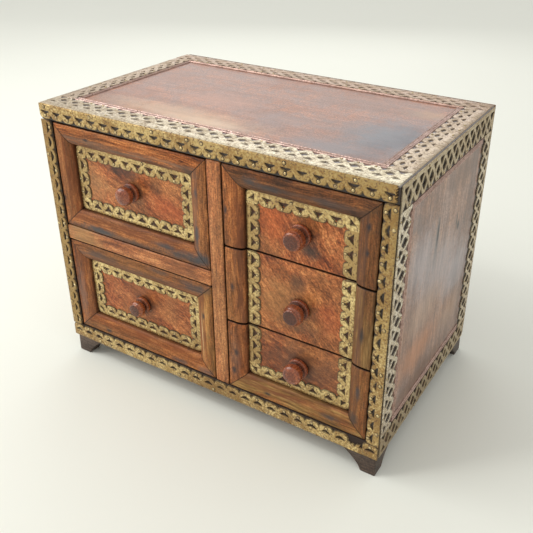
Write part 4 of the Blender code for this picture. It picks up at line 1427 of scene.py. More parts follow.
    def feet(self) -> None:
        """Make the feet: squares, barely eased at their corners, that shrink downward.

        At a share h of the height the side is toe + (full - toe) h^1.6. The ring at angle a is cos a and sin a,
        each to the 0.11 with its sign kept.
        """
        material = self.finisher.board("foot_finish", FOOT_WOOD, Grain.ALONG_X, 3.0)
        for node in ("foot_front_left", "foot_front_right", "foot_rear_left", "foot_rear_right"):
            low, high = (np.asarray(corner, float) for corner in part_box(node))
            x_side = 1.0 if "right" in node else -1.0
            y_side = 1.0 if "rear" in node else -1.0
            corner = np.array([high[0] if x_side > 0 else low[0], high[1] if y_side > 0 else low[1]])
            share = np.concatenate([[0.0, 0.0, 0.05], np.linspace(0.12, 1.0, 14), [1.0]])
            inset = np.concatenate([[1.0, 0.06, 0.0], np.zeros(14), [1.0]])
            side = self.foot_toe + (high[0] - low[0] - self.foot_toe) * share ** self.foot_power
            turn = np.linspace(0.0, 2 * math.pi, 41)
            circle = np.round(np.stack([np.cos(turn), np.sin(turn)], axis=-1), 9)
            ring = np.sign(circle) * np.abs(circle) ** self.foot_corner
            middle = corner - np.array([x_side, y_side]) * side[:, None] / 2
            flat = middle[:, None] + ring * (side * (1 - inset) / 2)[:, None, None]
            level = low[2] + (high[2] - low[2]) * share
            levels = np.broadcast_to(level[:, None, None], flat.shape[:2] + (1,))
            foot = Surface.grid(np.concatenate([flat, levels], axis=-1)).welded()
            make_piece(node.replace("_", "-"), foot, "case", material, FOOT_WOOD.slot, [node], crease=50.0)


@dataclass
class CaseBrass:
    """Scalloped strips on the front edges, lattice strips and copper beads on the top and the two sides.

    The front strips pass the case's sides by `over` and its roof by `rise`; each is a little wider or narrower
    than the board behind it. One lobe of the bottom strip is lost, and the top strip's right end is torn.
    """

    finisher: Finisher
    scallop: ScallopFret = ScallopFret()
    top_scallop: ScallopFret = ScallopFret(moon_to_tip=0.0056)
    narrow_scallop: ScallopFret = ScallopFret(moon_to_tip=0.0039, moon_depth=0.0026, cusp=0.0034)
    lattice: LatticeFret = LatticeFret(bar=0.0045, hole_long=0.95, hole_tall=0.6)
    side_lattice: LatticeFret = LatticeFret(band=0.0038, bar=0.0042, hole_tall=0.95)
    bead: BeadStrip = BeadStrip()
    lattice_width: float = 0.0272
    side_width: float = 0.0242
    end_width: float = 0.0215
    back_wider: float = 0.001
    right_wider: float = 0.002
    bead_width: float = 0.0056
    back_bead: float = 0.0035
    left_bead: float = 0.004
    right_bead: float = 0.0056 + 0.0005
    bead_gap: float = 0.0004
    side_gap: float = 0.0014
    bead_lift: float = 0.0001
    margin: float = 0.0006
    corner: float = 0.0028
    over: float = 0.0008
    rise: float = 0.0006
    top_narrower: float = 0.0011
    bottom_narrower: float = 0.0004
    left_wider: float = 0.0005
    right_narrower: float = 0.0004
    lost: tuple[int, ...] = (23,)
    torn: float = 0.003
    nail_radius: float = 0.0015
    nail_height: float = 0.0008
    small_nail: tuple[float, float] = (0.0015 * 0.65, 0.0008 * 0.6)

    def __post_init__(self) -> None:
        """Take the case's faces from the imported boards."""
        low, high = case_box()
        self.left, self.front, self.floor = low
        self.right, self.back, self.roof = high
        self.strip_brass = self.finisher.metal(STRIP_BRASS, 1.0)
        self.top_brass = self.finisher.metal(TOP_BRASS, 2.0)
        self.side_brass = self.finisher.metal(SIDE_BRASS, 5.0)
        self.nail_brass = self.finisher.metal(NAIL_BRASS, 3.0)
        self.bead_copper = self.finisher.metal(BEAD_COPPER, 4.0)

    def build(self) -> None:
        """Lay all strips of the case."""
        self.front_strips()
        self.top_strips()
        self.side_strips("right", self.right, 1.0)
        self.side_strips("left", self.left, -1.0)

    def front_strips(self) -> None:
        """Lay the front: top and bottom strips over the full width, uprights between them."""
        plane = self.front - self.scallop.sheet.lift
        left, right = self.left - self.over, self.right + self.over
        wide = right - left
        top_width, bottom_width = thickness("top_board", 2), thickness("bottom_board", 2)
        upright = thickness("left_side", 0) + self.over
        left_width, right_width = upright + self.left_wider, upright - self.right_narrower
        start = self.floor + bottom_width
        tall = self.roof - top_width - start
        top = Run((left, plane, self.roof + self.rise), RIGHTWARD, DOWNWARD, FORWARD, wide,
                  top_width - self.top_narrower, 0.2, 0.7)
        bottom = Run((left, plane, self.floor), RIGHTWARD, UPWARD, FORWARD, wide,
                     bottom_width - self.bottom_narrower, -0.15)
        uprights = list(enumerate((
            Run((left, plane, start), UPWARD, RIGHTWARD, FORWARD, tall, left_width, 0.85, 0.8),
            Run((right, plane, start), UPWARD, LEFTWARD, FORWARD, tall, right_width, -0.25, 1.25),
        ), 22))
        strips = [self.top_scallop.strip(top, 20, torn=self.torn), self.scallop.strip(bottom, 21, self.lost),
                  self.scallop.stump(bottom, self.lost, 21), self.curl(top)]
        strips += [self.narrow_scallop.strip(run, seed) for seed, run in uprights]
        make_piece("front-strips", Surface.join(strips).welded(), "case", self.strip_brass, STRIP_BRASS.slot,
                   ["brass_front_frame"])
        places = [self.top_scallop.nails(top, 20), self.scallop.nails(bottom, 21, self.lost, 0.4, 0.2)]
        places += [self.narrow_scallop.nails(run, seed, tip_share=0.6) for seed, run in uprights]
        heads = domes(np.concatenate(places), FORWARD, self.nail_radius, self.nail_height)
        make_piece("front-strip-nails", heads, "case", self.nail_brass, NAIL_BRASS.slot)

    def curl(self, run: Run) -> Surface:
        """The torn end of a strip, bent up: an arc of radius R in the plane of along and outward, closed."""
        turn = np.linspace(0.0, 1.9, 7)
        radius, thick = 0.0011, 0.0004
        outer = np.stack([np.sin(turn) * radius, (1 - np.cos(turn)) * radius], axis=-1)
        bore = radius - thick
        inner = np.stack([np.sin(turn) * bore, thick + (1 - np.cos(turn)) * bore], axis=-1)
        section = np.concatenate([outer, inner[::-1]])
        level = np.linspace(0.001, run.width - 0.004, 9)[:, None]
        along = run.length - 0.0034 + tear(level) + section[:, 0] * (0.7 + 0.3 * np.sin(900 * level))
        flat = capped(np.stack(np.broadcast_arrays(along, level, 0.0003 + section[:, 1]), axis=-1))
        return Surface.grid(run.place(flat), flip=not run.turned, rim=0.0, tone=0.0)

    def lattice_face(self, name: str, lattice: LatticeFret, finish: tuple[bpy.types.Material, str],
                     runs: Sequence[Run], beads: Sequence[Run], seed: int) -> None:
        """Lay the strips, beads and nails of one face.

        Args:
            name: top, left or right.
            lattice: Pattern of the strips.
            finish: Material of the strips and its slot.
            runs: Where the strips lie.
            beads: Where the beads lie.
            seed: Seed of the first strip; each further one has the next number.
        """
        numbered = list(enumerate(runs, seed))
        strips = Surface.join([lattice.strip(run, number) for number, run in numbered]).welded()
        make_piece(name + "-strips", strips, "case", *finish, [f"brass_{name}_frame"])
        rows = Surface.join([self.bead.strip(run) for run in beads])
        make_piece(name + "-beads", rows, "case", self.bead_copper, BEAD_COPPER.slot)
        places = np.concatenate([lattice.nails(run, number) for number, run in numbered])
        heads = domes(places, runs[0].outward, *self.small_nail)
        make_piece(name + "-strip-nails", heads, "case", self.nail_brass, NAIL_BRASS.slot)

    def top_strips(self) -> None:
        """Lay the top: front and back strips over the full width, end strips and beads between them."""
        plane = self.roof + self.lattice.sheet.lift
        left, right = self.left + self.margin, self.right - self.margin
        front, back = self.front - self.scallop.sheet.lift, self.back - self.margin
        front_width, back_width = self.lattice_width, self.end_width + self.back_wider
        right_width = self.end_width + self.right_wider
        between = back - front - front_width - back_width
        near = front + front_width
        runs = [
            Run((left, front, plane), RIGHTWARD, BACKWARD, UPWARD, right - left, front_width, 0.45, -0.45),
            Run((left, back, plane), RIGHTWARD, FORWARD, UPWARD, right - left, back_width, 1.0),
            Run((left, near, plane), BACKWARD, RIGHTWARD, UPWARD, between, self.end_width, 0.8),
            Run((right, near, plane), BACKWARD, LEFTWARD, UPWARD, between, right_width, 0.55, 0.3),
        ]
        base = self.roof + self.bead_lift
        left_end = left + self.end_width + self.bead_gap
        right_end = right - self.end_width - (self.right_wider + self.bead_gap)
        row_start, row_end = near + self.bead_gap, back - back_width - self.bead_gap
        wide, tall = right_end - left_end, row_end - row_start - self.bead_width - self.back_bead
        end_start = row_start + self.bead_width
        beads = [
            Run((left_end, row_start, base), RIGHTWARD, BACKWARD, UPWARD, wide, self.bead_width),
            Run((left_end, row_end, base), RIGHTWARD, FORWARD, UPWARD, wide, self.back_bead, 0.6),
            Run((left_end, end_start, base), BACKWARD, RIGHTWARD, UPWARD, tall, self.left_bead, 0.3),
            Run((right_end, end_start, base), BACKWARD, LEFTWARD, UPWARD, tall, self.right_bead),
        ]
        self.lattice_face("top", self.lattice, (self.top_brass, TOP_BRASS.slot), runs, beads, 40)

    def side_strips(self, name: str, face: float, way: float) -> None:
        """Lay one side: top and bottom strips over the full depth, uprights and beads between them.

        Args:
            name: left or right.
            face: X of the side's face.
            way: Sign of the way out of it.
        """
        plane, outward = face + way * self.lattice.sheet.lift, (way, 0.0, 0.0)
        front, back = self.front + self.corner, self.back - self.margin
        floor, roof = self.floor + self.margin, self.roof - self.margin
        width = self.side_width
        deep, tall = back - front, roof - floor - 2 * width
        runs = [
            Run((plane, front, roof), BACKWARD, DOWNWARD, outward, deep, width, 0.8),
            Run((plane, front, floor), BACKWARD, UPWARD, outward, deep, width, 0.9),
            Run((plane, front, floor + width), UPWARD, BACKWARD, outward, tall, width, 0.0),
            Run((plane, back, floor + width), UPWARD, FORWARD, outward, tall, width, 0.5),
        ]
        base = face + way * self.bead_lift
        near, far = front + width + self.side_gap, back - width - self.side_gap
        low, high = floor + width + self.side_gap, roof - width - self.side_gap
        bead = self.bead_width
        beads = [
            Run((base, near, high), BACKWARD, DOWNWARD, outward, far - near, bead, 0.6),
            Run((base, near, low), BACKWARD, UPWARD, outward, far - near, bead, 0.4),
            Run((base, near, low + bead), UPWARD, BACKWARD, outward, high - low - 2 * bead, bead, 0.5),
        ]
        seed = 60 if way > 0 else 80
        self.lattice_face(name, self.side_lattice, (self.side_brass, SIDE_BRASS.slot), runs, beads, seed)


@dataclass(frozen=True)
class Tint:
    """One length of moulding and the border beside it.

    Shade is its brightness, 1 as the finish gives it; grey is how grey the painted shade on its slope is, ochre
    how ochre its wood is, and proud how far it stands past the panel's edge. Tarnish belongs to the border.
    """

    shade: float
    grey: float
    ochre: float
    proud: float = 0.0
    tarnish: float = 0.1


@dataclass(frozen=True)
class DrawerKit:
    """What the drawers share."""

    finisher: Finisher
    border_brass: bpy.types.Material
    nail_brass: bpy.types.Material
    inner_wood: bpy.types.Material


@dataclass
class Drawer:
    """One drawer: moulded front, scalloped border, turned knob and the box behind.

    Smears lie on the panel and stains on the moulding; their centres are measured from the knob's axis.
    """

    kit: DrawerKit
    name: str
    seed: int
    moulded: dict[Side, Tint]
    tilt: float
    shape: KnobShape
    smears: tuple[Mark, ...]
    stains: tuple[Mark, ...]
    scallop: ScallopFret = ScallopFret(cusp=0.0048, moon_half=0.0051, moon_depth=0.0034, moon_to_tip=0.0056,
                                       stem_half=0.0008, stem_length=0.0018, full=0.45, edge_dirt_and_shade=0.8)
    flecked: float = 0.35
    moulding_width: float = 0.021
    moulding_flat: float = 0.009
    moulding_lip: float = 0.0024
    end_round: float = 0.0019
    glue_line: float = 0.0003
    border_width: float = 0.014
    border_setback: float = 0.0007
    nail_radius: float = 0.0012
    nail_height: float = 0.0007

    def __post_init__(self) -> None:
        """Take the front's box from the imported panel."""
        self.low, self.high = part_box(self.name + "_front_panel")
        proud = {side: tint.proud for side, tint in self.moulded.items()}
        self.frame_low = self.low - Vector((proud.get(Side.LEFT, 0.0), 0.0, proud.get(Side.BOTTOM, 0.0)))
        self.frame_high = self.high + Vector((proud.get(Side.RIGHT, 0.0), 0.0, proud.get(Side.TOP, 0.0)))
        self.body = self.name + "_drawer"
        self.face = self.low[1]
        self.crown = self.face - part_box("top_board")[0][1] - self.glue_line

    def build(self) -> None:
        """Make and dress the drawer."""
        self.mouldings()
        self.border()
        self.knob()
        self.panel()
        self.box()

    def profile(self) -> Array:
        """Closed section of the moulding: inward distance and height above the panel.

        A flat outer part with an eased arris, a quarter ellipse down to the lip, and the lip's eased edge.
        """
        turn = np.linspace(0.0, math.pi / 2, 12)
        ellipse = np.stack([
            self.moulding_flat + (self.moulding_width - self.moulding_flat) * np.sin(turn),
            self.moulding_lip + (self.crown - self.moulding_lip) * np.cos(turn)], axis=-1)
        ease = np.array([[0.0, 0.0], [0.0, self.crown - 0.002], [0.0003, self.crown - 0.001],
                         [0.001, self.crown - 0.0003], [0.0021, self.crown]])
        lip = np.array([[self.moulding_width, 0.0], [0.0, 0.0]])
        return np.concatenate([ease, ellipse, lip])

    def side_run(self, side: Side, inset: float, ends: tuple[float, float]) -> Run:
        """A run along one side of the front.

        Args:
            side: The side.
            inset: How far inside the front's outline its outer edge lies.
            ends: How far its two ends lie inside the outline.

        Returns:
            The run, on the panel's face.
        """
        low, high = self.frame_low, self.frame_high
        left, right = low[0] + inset, high[0] - inset
        bottom, top = low[2] + inset, high[2] - inset
        if side in (Side.TOP, Side.BOTTOM):
            level, inward = (top, DOWNWARD) if side is Side.TOP else (bottom, UPWARD)
            start = low[0] + ends[0]
            return Run((start, self.face, level), RIGHTWARD, inward, FORWARD, high[0] - ends[1] - start, 0.0)
        level, inward = (left, RIGHTWARD) if side is Side.LEFT else (right, LEFTWARD)
        start = low[2] + ends[0]
        return Run((level, self.face, start), UPWARD, inward, FORWARD, high[2] - ends[1] - start, 0.0)

    def mouldings(self) -> None:
        """Make the moulding in mitred lengths.

        The section runs along each side; at inward distance u a mitred length starts at u and ends at its
        length less u. An end that isn't mitred is rounded over, and both ends close on the section's middle.
        """
        profile = self.profile()
        parts = []
        for number, (side, tint) in enumerate(self.moulded.items()):
            mitred = [float(end in self.moulded) for end in self.ends(side)]
            run = self.side_run(side, 0.0, (0.0, 0.0))
            inner_share = np.linspace(0.0, 1.0, max(6, int(run.length / 0.008)))[1:-1]
            tip = np.array([0.0, 0.0004, 0.001, self.end_round]) / run.length
            share = np.concatenate([tip, inner_share, 1 - tip[::-1]])[:, None]
            inward, height = profile[:, 0], profile[:, 1] + self.glue_line
            begin, end = inward * mitred[0], run.length - inward * mitred[1]
            flat = np.stack(np.broadcast_arrays(begin + (end - begin) * share, inward, height), axis=-1)
            uneven = 0.00014 * (1 + ripple(run.place(flat), 0.045, self.seed + number))
            tail = np.minimum(flat[..., 0] + mitred[0], run.length - flat[..., 0] + mitred[1])
            rounded = 0.0011 * (1 - (tail / self.end_round).clip(0.0, 1.0)) ** 2
            sunk = (uneven + rounded) * (height > 0.001)
            flat = capped(flat - sunk[..., None] * np.array(UPWARD))
            along, across = flat[..., 0], flat[..., 1]
            tail = np.minimum(along + mitred[0], run.length - along + mitred[1])
            first_seam = along - across if mitred[0] else 1.0
            last_seam = run.length - across - along if mitred[1] else 1.0
            mitre = np.minimum(first_seam, last_seam) / math.sqrt(2)
            length = Surface.grid(run.place(flat), flip=run.turned, along=along, across=across, mitre=mitre,
                                  tail=tail, number=float(number), shade=tint.shade, grey=tint.grey,
                                  ochre=tint.ochre)
            parts.append(length.welded())
        material = self.kit.finisher.moulding(
            self.name + "_moulding_finish", MOULDING_WOOD, 2.0 + 3.1 * self.seed, self.moulding_width,
            self.placed(self.stains))
        make_piece(self.name + "-mouldings", Surface.join(parts), self.body, material, MOULDING_WOOD.slot,
                   self.nodes("moulding"))

    @staticmethod
    def ends(side: Side) -> tuple[Side, Side]:
        """The sides at which a side starts and ends."""
        return (Side.BOTTOM, Side.TOP) if side in (Side.LEFT, Side.RIGHT) else (Side.LEFT, Side.RIGHT)

    def nodes(self, part: str) -> list[str]:
        """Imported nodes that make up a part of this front."""
        packed = packed_nodes()
        names = [f"{self.name}_{part}{end}" for end in ("", "_left", "_right")]
        return [name for name in names if name in packed]

    def border(self) -> None:
        """Lay the scalloped border just inside the moulding, with a rounded piece where two strips meet."""
        inset = self.moulding_width + self.border_setback
        lift = np.array([0.0, -self.scallop.sheet.lift, 0.0])
        width, strips, places = self.border_width, [], []
        for number, (side, tint) in enumerate(self.moulded.items()):
            seed = 100 + 10 * self.seed + number
            joined = [end in self.moulded for end in self.ends(side)]
            trims = [inset + width if meets else 0.0005 for meets in joined]
            bare = self.side_run(side, inset, (trims[0], trims[1]))
            run = replace(bare, start=tuple(np.asarray(bare.start) + lift), width=width, tone=tint.tarnish)
            strips.append(self.scallop.strip(run, seed, open_ends=(not joined[0], not joined[1])))
            places.append(self.scallop.nails(run, seed, tip_share=0.95, band_share=0.3))
        levels = [side for side in (Side.BOTTOM, Side.TOP) if side in self.moulded]
        uprights = [side for side in (Side.LEFT, Side.RIGHT) if side in self.moulded]
        for level, upright in product(levels, uprights):
            x, along = ((self.frame_low[0] + inset, RIGHTWARD) if upright is Side.LEFT
                        else (self.frame_high[0] - inset, LEFTWARD))
            z, inward = ((self.frame_low[2] + inset, UPWARD) if level is Side.BOTTOM
                         else (self.frame_high[2] - inset, DOWNWARD))
            run = Run(tuple(np.array([x, self.face, z]) + lift), along, inward, FORWARD, width, width, 0.2)
            corner = self.scallop.corner(width)
            strips.append(self.scallop.lay(run, corner, np.zeros(1), np.ones(1), self.seed))
        make_piece(self.name + "-border", Surface.join(strips).welded(), self.body, self.kit.border_brass,
                   BORDER_BRASS.slot, self.nodes("brass_border"))
        heads = domes(np.concatenate(places), FORWARD, self.nail_radius, self.nail_height)
        make_piece(self.name + "-border-nails", heads, self.body, self.kit.nail_brass, NAIL_BRASS.slot)

    def knob_axis(self) -> Triple:
        """Where the knob's axis meets the panel."""
        low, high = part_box(self.name + "_knob")
        return ((low[0] + high[0]) / 2, self.face, (low[2] + high[2]) / 2)

    def placed(self, marks: Sequence[Mark]) -> list[Mark]:
        """Move marks that are measured from the knob's axis into place."""
        axis = Vector(self.knob_axis())
        return [replace(mark, centre=tuple(axis + Vector(mark.centre))) for mark in marks]

    def knob(self) -> None:
        """Turn the knob: tenon, thick round ring with a fine groove, cove, barrel and a flat or domed end.

        Along the barrel, s from 0 to 1, the radius runs straight from neck to face plus a swell of
        1 - |2s - 1|^2.1. The end is an arc of t from 0 to a right angle: out grows as sin t and the radius
        shrinks as a power of cos t, 0.3 for a flat end and 0.85 for a domed one.
        """
        girth, length, domed, seat = self.shape.girth, self.shape.length, self.shape.domed, self.shape.cove
        swing = np.linspace(0.0, math.pi, 13)
        bulge = girth * (0.95 + 0.13 * np.sin(swing) ** 0.7)
        ring = np.stack([self.glue_line + 0.0029 * (1 - np.cos(swing)), bulge], axis=-1)
        groove, groove_depth = 9, 0.0005
        ring[groove] -= [0.0, groove_depth]
        cove = np.array([[0.0064, 0.86 * girth], [seat, 0.78 * girth]])
        neck, face = 0.76 * girth, (0.7 + 0.14 * domed) * girth
        share = np.linspace(0.06, 0.96 - 0.36 * domed, 14)
        swell = (1.05 * girth - (neck + face) / 2) * (1 - np.abs(2 * share - 1) ** 2.1)
        reach = seat + (length - 0.001 - seat) * share
        barrel = np.stack([reach, neck + (face - neck) * share + swell], axis=-1)
        turn = np.linspace(0.0, math.pi / 2, 10)[1:]
        end = np.stack([barrel[-1, 0] + (length - barrel[-1, 0]) * np.sin(turn),
                        barrel[-1, 1] * np.cos(turn) ** (0.3 + 0.55 * domed)], axis=-1)
        end[-1, 1] = 0.0
        root = np.array([[-0.008, 0.0], [-0.008, 0.0044], [0.0003, 0.0044]])
        profile = np.concatenate([root, ring, cove, barrel, end])
        material = self.kit.finisher.knob(self.name + "_knob_finish", self.shape, 4.0 + self.seed)
        make_piece(self.name + "-knob", turned(profile, self.knob_axis(), 36), self.body, material,
                   self.shape.wood.slot, [self.name + "_knob"])

    def panel(self) -> None:
        """Dress the front board: slanting flecked wood, hand dirt round the knob and the front's own smears."""
        node = self.name + "_front_panel"
        dirt = Mark((0.002, 0.0, -0.001), (0.0165, 0.05, 0.0165), (0.06, 0.038, 0.028), 0.75)
        bare = [FAR * (side not in self.moulded) for side in (Side.LEFT, Side.BOTTOM, Side.RIGHT, Side.TOP)]
        past_low, past_high = Vector((bare[0], FAR, bare[1])), Vector((bare[2], FAR, bare[3]))
        rim = (self.frame_low - past_low, self.frame_high + past_high)
        width = self.moulding_width + self.border_setback + self.border_width - self.scallop.cusp
        wood = replace(PANEL_WOOD, flecked=self.flecked)
        # Under the moulding and border the wood is painted dark as painted shade, seen through the border's holes;
        # its edges across X and Z are painted black as painted shade in the gaps.
        cover = Cover(rim, "XZ", width, (0.05, 0.02, 0.012))
        material = self.kit.finisher.board(
            node + "_finish", wood, Grain.ALONG_X, 5.0 + 1.9 * self.seed, (self.low, self.high),
            self.placed([*self.smears, dirt]), self.tilt, short=3.2, worn=0.1, gap_shade_axes="XZ", cover=cover)
        dress(node, material)

    def box(self) -> None:
        """Dress the drawer's box."""
        for part in ("bottom", "left_side", "right_side", "back"):
            dress(f"{self.name}_{part}", self.kit.inner_wood)


def packed_nodes() -> set[str]:
    """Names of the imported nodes."""
    return {made["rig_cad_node"] for made in bpy.context.scene.objects if "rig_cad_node" in made}


def dress(node: str, material: bpy.types.Material) -> None:
    """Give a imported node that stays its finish."""
    found = next(made for made in bpy.context.scene.objects if made.get("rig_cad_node") == node)
    found.data.materials.clear()
    found.data.materials.append(material)
    LOG.info("%s dressed in %s", node, material.name)


@dataclass
class Stage:
    """Floor, light and camera."""

    floor_colour: Colour = (0.82, 0.825, 0.74)
    eye: Triple = (0.38713, -0.59697, 0.53369)
    right: Triple = (0.85641, 0.51623, 0.00774)
    up: Triple = (-0.25135, 0.4038, 0.87964)
    forward: Triple = (-0.45098, 0.75528, -0.47558)
    lens: float = 48.22
    shift: tuple[float, float] = (-0.0445, -0.0413)

    def build(self) -> None:
        """Set the whole stage."""
        self.floor()
        self.world()
        self.lamp("window_light", (-1.5, -0.9, 1.4), (0.0, 0.0, 0.12), 1.6, 24.0)
        self.lamp("back_light", (-0.75, 1.35, 1.0), (0.0, 0.0, 0.3), 1.3, 4.2)
        self.lamp("glint_light", (-0.35, -0.6, 1.35), (0.0, 0.0, 0.2), 0.16, 2.0)
        self.camera()

    def floor(self) -> None:
        """Lay a wide plain floor."""
        lines = np.linspace(-8.0, 8.0, 3)
        rows, columns = np.meshgrid(lines, lines, indexing="ij")
        surface = Surface.grid(np.stack([rows, columns, 0 * rows], axis=-1), flip=True)
        mesh = surface.mesh("floor")
        material, graph, shader, place = new_material("floor_paint")
        cloud = graph.noise(place, 3.0, 0.0, 3.0)
        paler = tuple(min(1.0, 1.03 * channel) for channel in self.floor_colour)
        graph.put(shader.inputs["Base Color"], graph.mix(cloud, self.floor_colour, paler))
        shader.inputs["Roughness"].default_value = 0.9
        shader.inputs["Specular IOR Level"].default_value = 0.1
        mesh.materials.append(material)
        floor = bpy.data.objects.new("floor", mesh)
        bpy.context.collection.objects.link(floor)

    def world(self) -> None:
        """Light the scene evenly; the background that is seen or mirrored has the floor's colour."""
        world = bpy.data.worlds.new("soft_light")
        bpy.context.scene.world = world
        world.use_nodes = True
        graph = Graph(world.node_tree)
        background = world.node_tree.nodes["Background"]
        path = graph.node("ShaderNodeLightPath").outputs
        seen = graph.math("MAXIMUM", path["Is Camera Ray"],
                          graph.math("MAXIMUM", path["Is Glossy Ray"], path["Is Transmission Ray"]))
        graph.put(background.inputs["Color"], graph.mix(seen, (0.78, 0.78, 0.78), (0.8, 0.8, 0.755)))
        background.inputs["Strength"].default_value = 1.0

    @staticmethod
    def lamp(name: str, place: Triple, aim: Triple, size: float, power: float) -> None:
        """Hang a square soft lamp.

        Args:
            name: Name of the lamp.
            place: Where it hangs.
            aim: The point that it faces.
            size: Length of its side.
            power: Watts.
        """
        light = bpy.data.lights.new(name, "AREA")
        light.size = size
        light.energy = power
        made = bpy.data.objects.new(name, light)
        bpy.context.collection.objects.link(made)
        made.location = place
        made.rotation_euler = (Vector(aim) - Vector(place)).to_track_quat("-Z", "Y").to_euler()

    def camera(self) -> None:
        """Stand the camera where the photograph was taken."""
        data = bpy.data.cameras.new("camera")
        data.sensor_width = 36.0
        data.lens = self.lens
        data.shift_x, data.shift_y = self.shift
        data.clip_start, data.clip_end = 0.01, 60.0
        made = bpy.data.objects.new("camera", data)
        bpy.context.collection.objects.link(made)
        axes = Matrix((self.right, self.up, tuple(-part for part in self.forward))).transposed().to_4x4()
        made.matrix_world = Matrix.Translation(self.eye) @ axes
        bpy.context.scene.camera = made


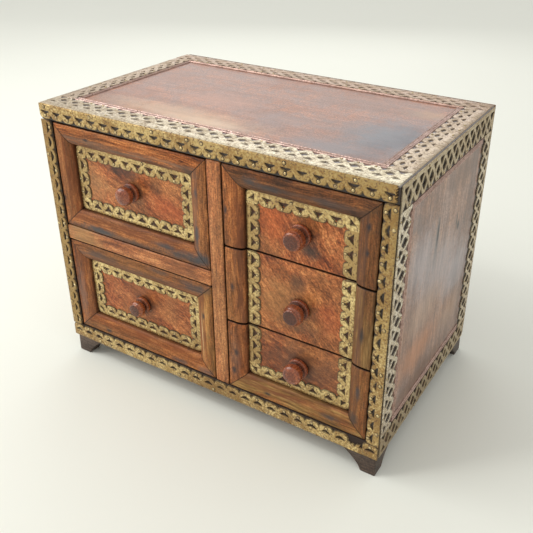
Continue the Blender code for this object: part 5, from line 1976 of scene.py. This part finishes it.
def build_drawers(finisher: Finisher, nail_brass: bpy.types.Material) -> None:
    """Make the five drawers; their nails share the case's finish."""
    left, top, right, bottom = Side.LEFT, Side.TOP, Side.RIGHT, Side.BOTTOM
    soot, grey = (0.045, 0.026, 0.02), (0.06, 0.048, 0.04)
    slate, mauve = (0.066, 0.062, 0.062), (0.16, 0.1, 0.08)
    kit = DrawerKit(finisher, finisher.metal(BORDER_BRASS, 6.0), nail_brass,
                    finisher.board("box_wood", INNER_WOOD, Grain.ALONG_Y, 9.0))

    def smear(x: float, z: float, wide: float, tall: float, colour: Colour = slate, strength: float = 0.7,
              ragged: float = 1.6) -> Mark:
        """A mark on a front, at a place measured from its knob."""
        return Mark((x, 0.0, z), (wide, 0.05, tall), colour, strength, ragged)

    def nailed(x: float, z: float, wide: float = 0.0024, tall: float = 0.0048) -> Mark:
        """The dark oval that an iron nail has left in the wood."""
        return smear(x, z, wide, tall, (0.028, 0.03, 0.034), 0.85, 0.7)

    paler_knob = replace(KNOB_WOOD, body=(0.4, 0.105, 0.026), light=(0.6, 0.2, 0.055))
    drawers = [
        Drawer(
            kit, "left_upper", 1,
            {left: Tint(0.92, 0.05, 0.1, 0.0, 0.7), top: Tint(1.0, 0.8, 0.0, 0.0004, 0.5),
             right: Tint(0.9, 0.5, 0.1, 0.0009, 0.7), bottom: Tint(0.97, 0.2, 0.05, 0.0002)},
            -0.55, KnobShape(0.0195, 0.0095, 1.0),
            (smear(-0.055, -0.006, 0.026, 0.026, (0.42, 0.215, 0.085), 0.55),
             smear(0.045, -0.008, 0.028, 0.016, (0.46, 0.1, 0.028), 0.5),
             smear(-0.012, 0.02, 0.028, 0.009, soot), smear(0.03, 0.012, 0.014, 0.012, soot, 0.4)),
            (smear(-0.02, -0.0555, 0.1, 0.006, grey, 0.75), smear(-0.048, -0.0535, 0.028, 0.0055, slate, 0.9),
             smear(0.044, -0.047, 0.021, 0.0048, slate, 0.9), smear(0.07, -0.051, 0.032, 0.0075, slate, 0.85),
             smear(0.0895, -0.0495, 0.016, 0.011, slate, 0.95), smear(0.0855, -0.023, 0.0036, 0.022, slate, 0.9),
             smear(0.0872, 0.0221, 0.003, 0.0065), smear(0.08, 0.04, 0.012, 0.008, grey, 0.6),
             nailed(-0.0932, -0.0258), nailed(-0.0504, 0.0477, 0.0046, 0.0024))),
        Drawer(
            kit, "left_lower", 2,
            {left: Tint(0.92, 0.3, 0.05), top: Tint(0.85, 0.6, 0.2, 0.0012), right: Tint(1.18, 0.2, 0.6, 0.0009),
             bottom: Tint(1.25, 0.1, 0.2)},
            -0.5, KnobShape(0.0175, 0.009, 0.2, paler_knob),
            (smear(0.0, 0.012, 0.05, 0.02, (0.17, 0.055, 0.02), 0.5),),
            (smear(-0.0528, 0.0494, 0.03, 0.005, slate, 0.6), smear(0.079, 0.051, 0.024, 0.007, slate, 0.8),
             smear(0.033, 0.0545, 0.022, 0.0036, slate, 0.5), smear(-0.088, -0.01, 0.007, 0.05, mauve, 0.6),
             smear(-0.0707, -0.032, 0.006, 0.0055, soot), smear(0.0861, -0.0545, 0.012, 0.009, mauve),
             smear(0.0505, -0.0527, 0.014, 0.0045),
             smear(0.085, -0.004, 0.0011, 0.036, (0.62, 0.4, 0.2), 0.8, 0.8),
             nailed(0.088, 0.019, tall=0.006), nailed(-0.0532, -0.051, 0.0056, 0.0026)),
            replace(Drawer.scallop, moon_depth=0.0027, stem_length=0.0008, full=0.9), 0.12),
        Drawer(
            kit, "right_upper", 3,
            {left: Tint(0.97, 0.2, 0.1, 0.0004, 1.0), top: Tint(0.5, 0.6, 0.1, 0.0011, 0.4),
             right: Tint(0.58, 0.5, 0.3, 0.0003, 1.0)},
            -0.95, KnobShape(0.0205, 0.0101, 0.35),
            (smear(-0.03, 0.004, 0.022, 0.026, (0.47, 0.105, 0.026), 0.65),
             smear(0.008, -0.016, 0.014, 0.01, grey, 0.75)),
            (smear(-0.03, 0.0395, 0.03, 0.004), smear(-0.05, 0.0429, 0.01, 0.006),
             smear(0.03, 0.04, 0.024, 0.006, slate, 0.5), smear(0.054, 0.0345, 0.01, 0.008, soot),
             nailed(-0.0774, 0.0076, tall=0.0056), nailed(0.0679, 0.0281, 0.003, 0.0052),
             nailed(0.0677, 0.0037))),
        Drawer(
            kit, "right_middle", 4,
            {left: Tint(0.9, 0.3, 0.2, 0.0004, 0.45), right: Tint(0.64, 0.5, 0.8, 0.0003, 0.05)},
            -0.8, KnobShape(0.0205, 0.01, 0.15),
            (smear(-0.02, 0.0, 0.045, 0.04, (0.32, 0.15, 0.05), 0.55),
             smear(0.03, -0.004, 0.016, 0.024, (0.36, 0.08, 0.026), 0.5),
             smear(-0.004, 0.026, 0.012, 0.014, soot, 0.65), smear(0.0, -0.022, 0.03, 0.01, grey, 0.3)),
            (nailed(-0.0725, 0.0047, 0.003, 0.0062), nailed(0.0674, -0.002, 0.003, 0.012)), flecked=0.25),
        Drawer(
            kit, "right_lower", 5,
            {left: Tint(1.08, 0.2, 0.05, 0.0004, 0.8), right: Tint(0.68, 0.5, 0.5, 0.0003, 0.05),
             bottom: Tint(1.06, 0.25, 1.0)},
            -0.4, KnobShape(0.02, 0.0101, 0.9),
            (smear(0.0, 0.0, 0.066, 0.036, (0.115, 0.048, 0.026), 0.8),),
            (smear(-0.072, -0.014, 0.008, 0.04, mauve, 0.4), smear(0.0672, 0.0028, 0.0032, 0.012),
             smear(0.0392, -0.0409, 0.014, 0.0042), smear(0.064, -0.03, 0.006, 0.01, grey),
             nailed(-0.0704, -0.0053, 0.0036, 0.0062), nailed(-0.0737, -0.0286, 0.0036, 0.007),
             nailed(-0.033, -0.0427, 0.005, 0.0024)), flecked=0.08),
    ]
    for drawer in drawers:
        drawer.build()
    for node in ("right_shelf_lower", "right_shelf_upper"):
        dress(node, kit.inner_wood)


def main() -> None:
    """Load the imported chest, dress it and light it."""
    logging.basicConfig(level=logging.INFO, format="%(name)s: %(message)s")
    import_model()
    finisher = Finisher()
    CaseBoards(finisher).build()
    brass = CaseBrass(finisher)
    brass.build()
    build_drawers(finisher, brass.nail_brass)
    Stage().build()
    bpy.context.scene.view_settings.view_transform = "Standard"


if __name__ == "__main__":
    main()
